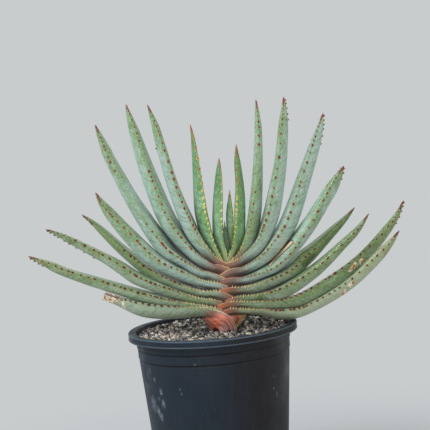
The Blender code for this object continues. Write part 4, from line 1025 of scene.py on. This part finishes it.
def leaf_material(name, coat):
    """Living leaf skin under its own wax: matt and bluish where the wax lies, satin green where it's gone."""
    material, tree, shader = new_material(name)
    place = add_node(tree, "Attribute", attribute_name="place").outputs["Vector"]
    from_base, around, to_tip = add_node(tree, "SeparateXYZ", {0: place}).outputs
    age, bloom, margin, keel, tooth, scar = (
        add_node(tree, "Attribute", attribute_name=word).outputs["Fac"]
        for word in ("age", "bloom", "from_margin", "to_keel", "tooth", "scar"))
    oldest = (age, 0.6, 0.4)
    whole = (age, 0.6, 0.9)
    young_leaf = (age, 15.2, 15.8)
    bud = (age, 19.4, 19.8)
    grown = (age, 19.8, 19.4)
    here = millimetres(tree)
    depth = add_node(tree, "SeparateXYZ", {0: here}).outputs[1]
    seed = total(tree, 0.0, (age, 3.7))
    lengthwise, slantwise = (
        add_node(tree, "CombineXYZ", {0: ahead, 1: total(tree, 0.0, (around, squeeze)), 2: seed}).outputs[0]
        for ahead, squeeze in ((from_base, 2.2), (total(tree, from_base, (around, 0.7)), 0.12)))
    patch, wiped, fleck, bars, speck, chunk, crack = (
        add_node(tree, "TexNoise", {"Vector": where, "Scale": 1 / size, "Detail": detail,
                                    "Roughness": roughness}).outputs[0]
        for where, size, detail, roughness in (
            (lengthwise, 20.0, 4.0, 0.6),     # patches of thick and thin wax
            (lengthwise, 6.25, 5.0, 0.65),    # wax wiped off by rain and touch
            (lengthwise, 2.2222, 3.0, 0.6),   # olive flecks
            (slantwise, 2.0, 3.0, 0.55),      # faint slanting bars
            (here, 1.6129, 4.0, 0.7),         # pores, really some 0.1 mm: as coarse as they need to show
            (here, 3.0303, 2.0, 0.55),        # chunks of cork
            (here, 3.3333, 3.0, 0.55),        # cracks between them
        ))
    # The wax is thickest on the underside and rubbed off along the upper side of the margin
    underside = within(tree, 0.35, (margin, -3.0, -11.0))
    rubbed = within(tree, -0.25, *about(margin, 1.5, 1.0, 5.0))
    waxed = total(tree, -1.3, (bloom, 1.0), (patch, 1.8), (wiped, 0.8), (underside, 1.0), (rubbed, 1.0))
    crown = within(tree, 1.0, (age, 18.4, 18.8))
    thin = total(tree, within(tree, 1.0, (fleck, 0.46, 0.62)), (waxed, -1.0), (crown, -1.0))
    # Bases are dry or flushed near the stem, and those of the right rank further out than those of the left
    rank = add_node(tree, "Math", {0: age, 1: 2.0}, operation="MODULO").outputs[0]
    right = within(tree, total(tree, 6.0, (rank, -10.0)), (age, 10.8, 10.4))
    newer = within(tree, -9.0, (age, 9.0, 12.0))
    worn = total(tree, from_base, (patch, -22.0), (newer, 1.0), (right, 1.0))
    uneven = total(tree, -7.0, (from_base, 1.0), (patch, 14.0))
    # Painted shade where the leaves lie close together: on the upper side and along the keel, near the stem,
    # less on the upper side of right_05, and painted brown shade low on each clasping base
    deep = strongest(tree, within(tree, 0.93, (from_base, 95.0, 45.0), (age, 14.8, 14.4)),
                     within(tree, 0.6, (from_base, 60.0, 25.0)))
    unlit = total(tree, 1.0, (within(tree, -0.75, *about(age, 9.0, 0.1, 0.4)), 1.0))
    shade = strongest(tree, within(tree, total(tree, 0.0, (deep, unlit)), (margin, 1.5, 4.0)),
                      within(tree, 0.85, (from_base, 115.0, 60.0), (age, 1.2, 1.8), (keel, 0.70, 0.95)))
    painted_base_shade = strongest(tree, within(tree, 0.5, (keel, 0.35, 0.75), (from_base, 40.0, 12.0)),
                     within(tree, 0.85, (margin, -2.4, -6.5), (from_base, 40.0, 14.0)),
                     within(tree, 0.85, (keel, 0.15, 0.4), (from_base, 36.0, 18.0), (age, 1.8, 1.4)))
    # Only the clasping base has a pale margin. The brown of the tip runs back along both margins
    near_base = total(tree, from_base, (within(tree, -14.0, oldest), 1.0))
    by_age = total(tree, 0.0, (age, 0.05))
    young_tooth, base_margin = (add_node(tree, "ValToRGB", {"Fac": by_age}, stops)
                                for stops in (YOUNG_TEETH, BASE_MARGINS))
    for node in (young_tooth, base_margin):
        node.color_ramp.interpolation = "CONSTANT"
    to_point = total(tree, to_tip, (within(tree, -6.0, *about(margin, 0.0, 0.4, 1.6)), 1.0))
    # Cork is tan and cream in chunks, with dark cracks and a dark rim
    cork = paint(
        tree, "b8783c",
        ("f9ecd0", 1.0, (chunk, 0.41, 0.56)),
        ("4c2a18", 0.85, *about(crack, 0.47, 0.0, 0.035)),
        ("5a2a1c", 0.8, *about(margin, 0.0, 0.5, 1.5), oldest),
    )
    # Teeth are paler near a leaf's base, and all over a young leaf, and each has a pale foot
    later = total(tree, from_base, (within(tree, -45.0, young_leaf), 1.0))
    young = within(tree, 0.9, (later, 52.0, 22.0))
    spine = paint(tree, coat.tooth, (young_tooth.outputs[0], young))
    halo = paint(tree, coat.halo, (paint(tree, young_tooth.outputs[0], ("e8e0a8", 0.25)), young))
    away, held = by_score(tree)
    colour = paint(
        tree, coat.green,
        (coat.olive, 0.8, (thin, 0.0, 0.7)),
        (coat.wax, 0.95, (waxed, 0.15, 0.95)),
        (coat.olive, 0.58, (speck, 0.54, 0.66)),
        ("e4ede0", 0.42, (speck, 0.43, 0.31)),
        (coat.olive, 0.42, (bars, 0.50, 0.64)),
        # Young leaves are greener at the tip
        ("3d6344", 0.45, young_leaf, (to_tip, 50.0, 5.0)),
        # The lowest whole leaf is yellower, and it and the next two are flushed towards the tip
        ("b9bb96", 0.35, whole, (age, 1.8, 1.4)),
        ("a4604c", 0.6, whole, (age, 3.8, 3.4), (to_tip, 55.0, 20.0), (wiped, 0.52, 0.62)),
        (coat.base, 0.9, (worn, 9.0, -9.0)),
        (coat.root, 0.85, (worn, -4.0, -20.0)),
        *((code, 0.9, oldest, (margin, -0.5, -3.0), (uneven, far, near)) for code, far, near in SHEATH_BANDS),
        # The bud is dark green: its own colour, darkened further as painted shade where it sits between the
        # inner leaves
        ("2c4a38", 0.85, bud),
        # Painted shade between the leaves, and painted brown shade under the clasping bases
        ("0f1716", shade),
        ("3a241b", painted_base_shade, whole),
        *(("6e1c15", 0.8, *about(margin, vein, 0.3, 0.75), (from_base, 3.0, -1.0), oldest)
          for vein in SHEATH_VEINS),
        (coat.margin, coat.margin_share, *about(margin, 0.0, 0.35, 1.1), (fleck, 0.3, 0.6), grown),
        (base_margin.outputs[0], 0.85, *about(margin, 0.0, 0.5, 1.2), (near_base, 16.0, 5.0), grown),
        (coat.spine, 0.9, (to_point, 6.5, 1.0), grown),
        (cork, 1.0, (total(tree, scar, (speck, 0.5)), 0.62, 0.74)),
        ("5a6b40", 0.9, (scar, -0.35, -0.6)),
        *((code, 1.0, (total(tree, away, (held, 0.4 * half)), half, 0.5 * half), (depth, 2.0, 0.0),
           *about(age, SCORED_AGE, 1.1, 1.4)) for half, code in SCORE_LINES),
        (halo, 1.0, (tooth, 0.25, 0.32)),
        (spine, 1.0, (tooth, 0.52, 0.62)),
    )
    relief = total(tree, wiped, (speck, 0.5))
    feed(tree, shader, {
        "Base Color": colour,
        "Roughness": within(tree, 0.66, (waxed, 0.0, 0.8)),
        "Sheen Weight": 0.2,
        "Sheen Tint": "dfeaf0",
        "Normal": add_node(tree, "Bump", {"Height": relief, "Distance": 0.4 * MM}).outputs[0],
    })
    return material


GROWN_FROM = 4                # leaves counted inwards from the outside of either rank
YOUNG_FROM = 8
skins = {name: leaf_material(name, coat) for name, coat in COATS.items()}
for place, leaf in enumerate((*LEAVES, BUD)):
    line, thick, from_base, along = leaf_line(leaf)
    inward = min(place, len(LEAVES) - 1 - place)
    if leaf is BUD or inward >= YOUNG_FROM:
        slot = "fresh_green_leaf"
    else:
        slot = "olive_leaf" if inward < GROWN_FROM else "grey_green_leaf"
    node = f"leaf_{leaf.name}"
    blade = leaf_bmesh(leaf, line, thick, from_base, along)
    smooth(add_piece(blade, f"aloe_{node}", skins[slot], node), 55.0)

# Camera
# A long lens 1.5 m in front of the pot, looking down on it a little and rolled by a few degrees, which is how
# the plant was photographed.
CAMERA_ROLL = radians(4.6)
CAMERA_PITCH = radians(5.3)
CAMERA_LENS = 125.58
CAMERA_DISTANCE = 1500.0
CAMERA_TARGET = Vector((0.0, 0.0, 159.5))
CAMERA_ASIDE = 2.3
CAMERA_ABOVE = 115.3

ahead = Vector((0.0, cos(CAMERA_PITCH), -sin(CAMERA_PITCH)))
level = Vector((1.0, 0.0, 0.0))
upright = Vector((0.0, sin(CAMERA_PITCH), cos(CAMERA_PITCH)))
right = level * cos(CAMERA_ROLL) - upright * sin(CAMERA_ROLL)
above = level * sin(CAMERA_ROLL) + upright * cos(CAMERA_ROLL)
spot = (CAMERA_TARGET + right * CAMERA_ASIDE + above * CAMERA_ABOVE - ahead * CAMERA_DISTANCE) * MM
camera = bpy.data.objects.new("camera", bpy.data.cameras.new("camera"))
camera.data.lens = CAMERA_LENS
camera.data.sensor_width = 36.0
camera.data.clip_start = 0.01
camera.matrix_world = Matrix.Translation(spot) @ Matrix((right, above, -ahead)).transposed().to_4x4()
bpy.context.scene.collection.objects.link(camera)
bpy.context.scene.camera = camera

# Lights
# Plain soft studio light: a broad cool one from the upper left in front, a soft one from above, a weak warm
# fill from the right, a weaker one low in front, and a pale room.
bpy.context.scene.view_settings.view_transform = "Standard"
LIGHTS = (
    # name, place, size in metres, power in watts, colour
    ("window", (-1.3, -1.0, 1.5), 1.0, 23.5, "eef4ff"),
    ("ceiling", (0.2, 0.4, 1.9), 1.2, 10.0, "f4f7ff"),
    ("fill", (1.5, -1.3, 0.7), 1.0, 4.0, "fff4e8"),
    ("front", (-0.3, -1.7, 0.35), 0.7, 2.0, "fff6f0"),
)
AIM = Vector((0.0, 0.0, 0.2))
for name, place, size, power, code in LIGHTS:
    lamp = bpy.data.lights.new(name, "AREA")
    lamp.shape = "DISK"
    lamp.size = size
    lamp.energy = power
    lamp.color = linear(code)[:3]
    light = bpy.data.objects.new(name, lamp)
    light.location = place
    light.rotation_euler = (AIM - Vector(place)).to_track_quat("-Z", "Y").to_euler()
    bpy.context.scene.collection.objects.link(light)

room = bpy.data.worlds.new("room")
room.use_nodes = True
feed(room.node_tree, room.node_tree.nodes["Background"], {"Color": "c9cccd", "Strength": 1.0})
bpy.context.scene.world = room

# Floor
# A plain pale disc for the pot to stand on, matt as paper. It fades into the room all round, so that no edge
# of it shows.
FLOOR_RADIUS = 0.6
floor_bm = bmesh.new()
bmesh.ops.create_circle(floor_bm, cap_ends=True, segments=96, radius=FLOOR_RADIUS)
floor_mesh = bpy.data.meshes.new("floor")
floor_bm.to_mesh(floor_mesh)
floor_bm.free()
floor = bpy.data.objects.new("floor", floor_mesh)
floor_material, floor_tree, floor_shader = new_material("floor")
feed(floor_tree, floor_shader, {"Base Color": "b9bbbb", "Roughness": 0.9})
away = add_node(floor_tree, "VectorMath", {0: millimetres(floor_tree)}, operation="LENGTH").outputs["Value"]
clear = add_node(floor_tree, "BsdfTransparent").outputs[0]
shaders = {0: within(floor_tree, 1.0, (away, 150.0, 500.0)), 1: floor_shader.outputs[0], 2: clear}
faded = add_node(floor_tree, "MixShader", shaders).outputs[0]
feed(floor_tree, floor_tree.nodes["Material Output"], {"Surface": faded})
floor_mesh.materials.append(floor_material)
bpy.context.scene.collection.objects.link(floor)
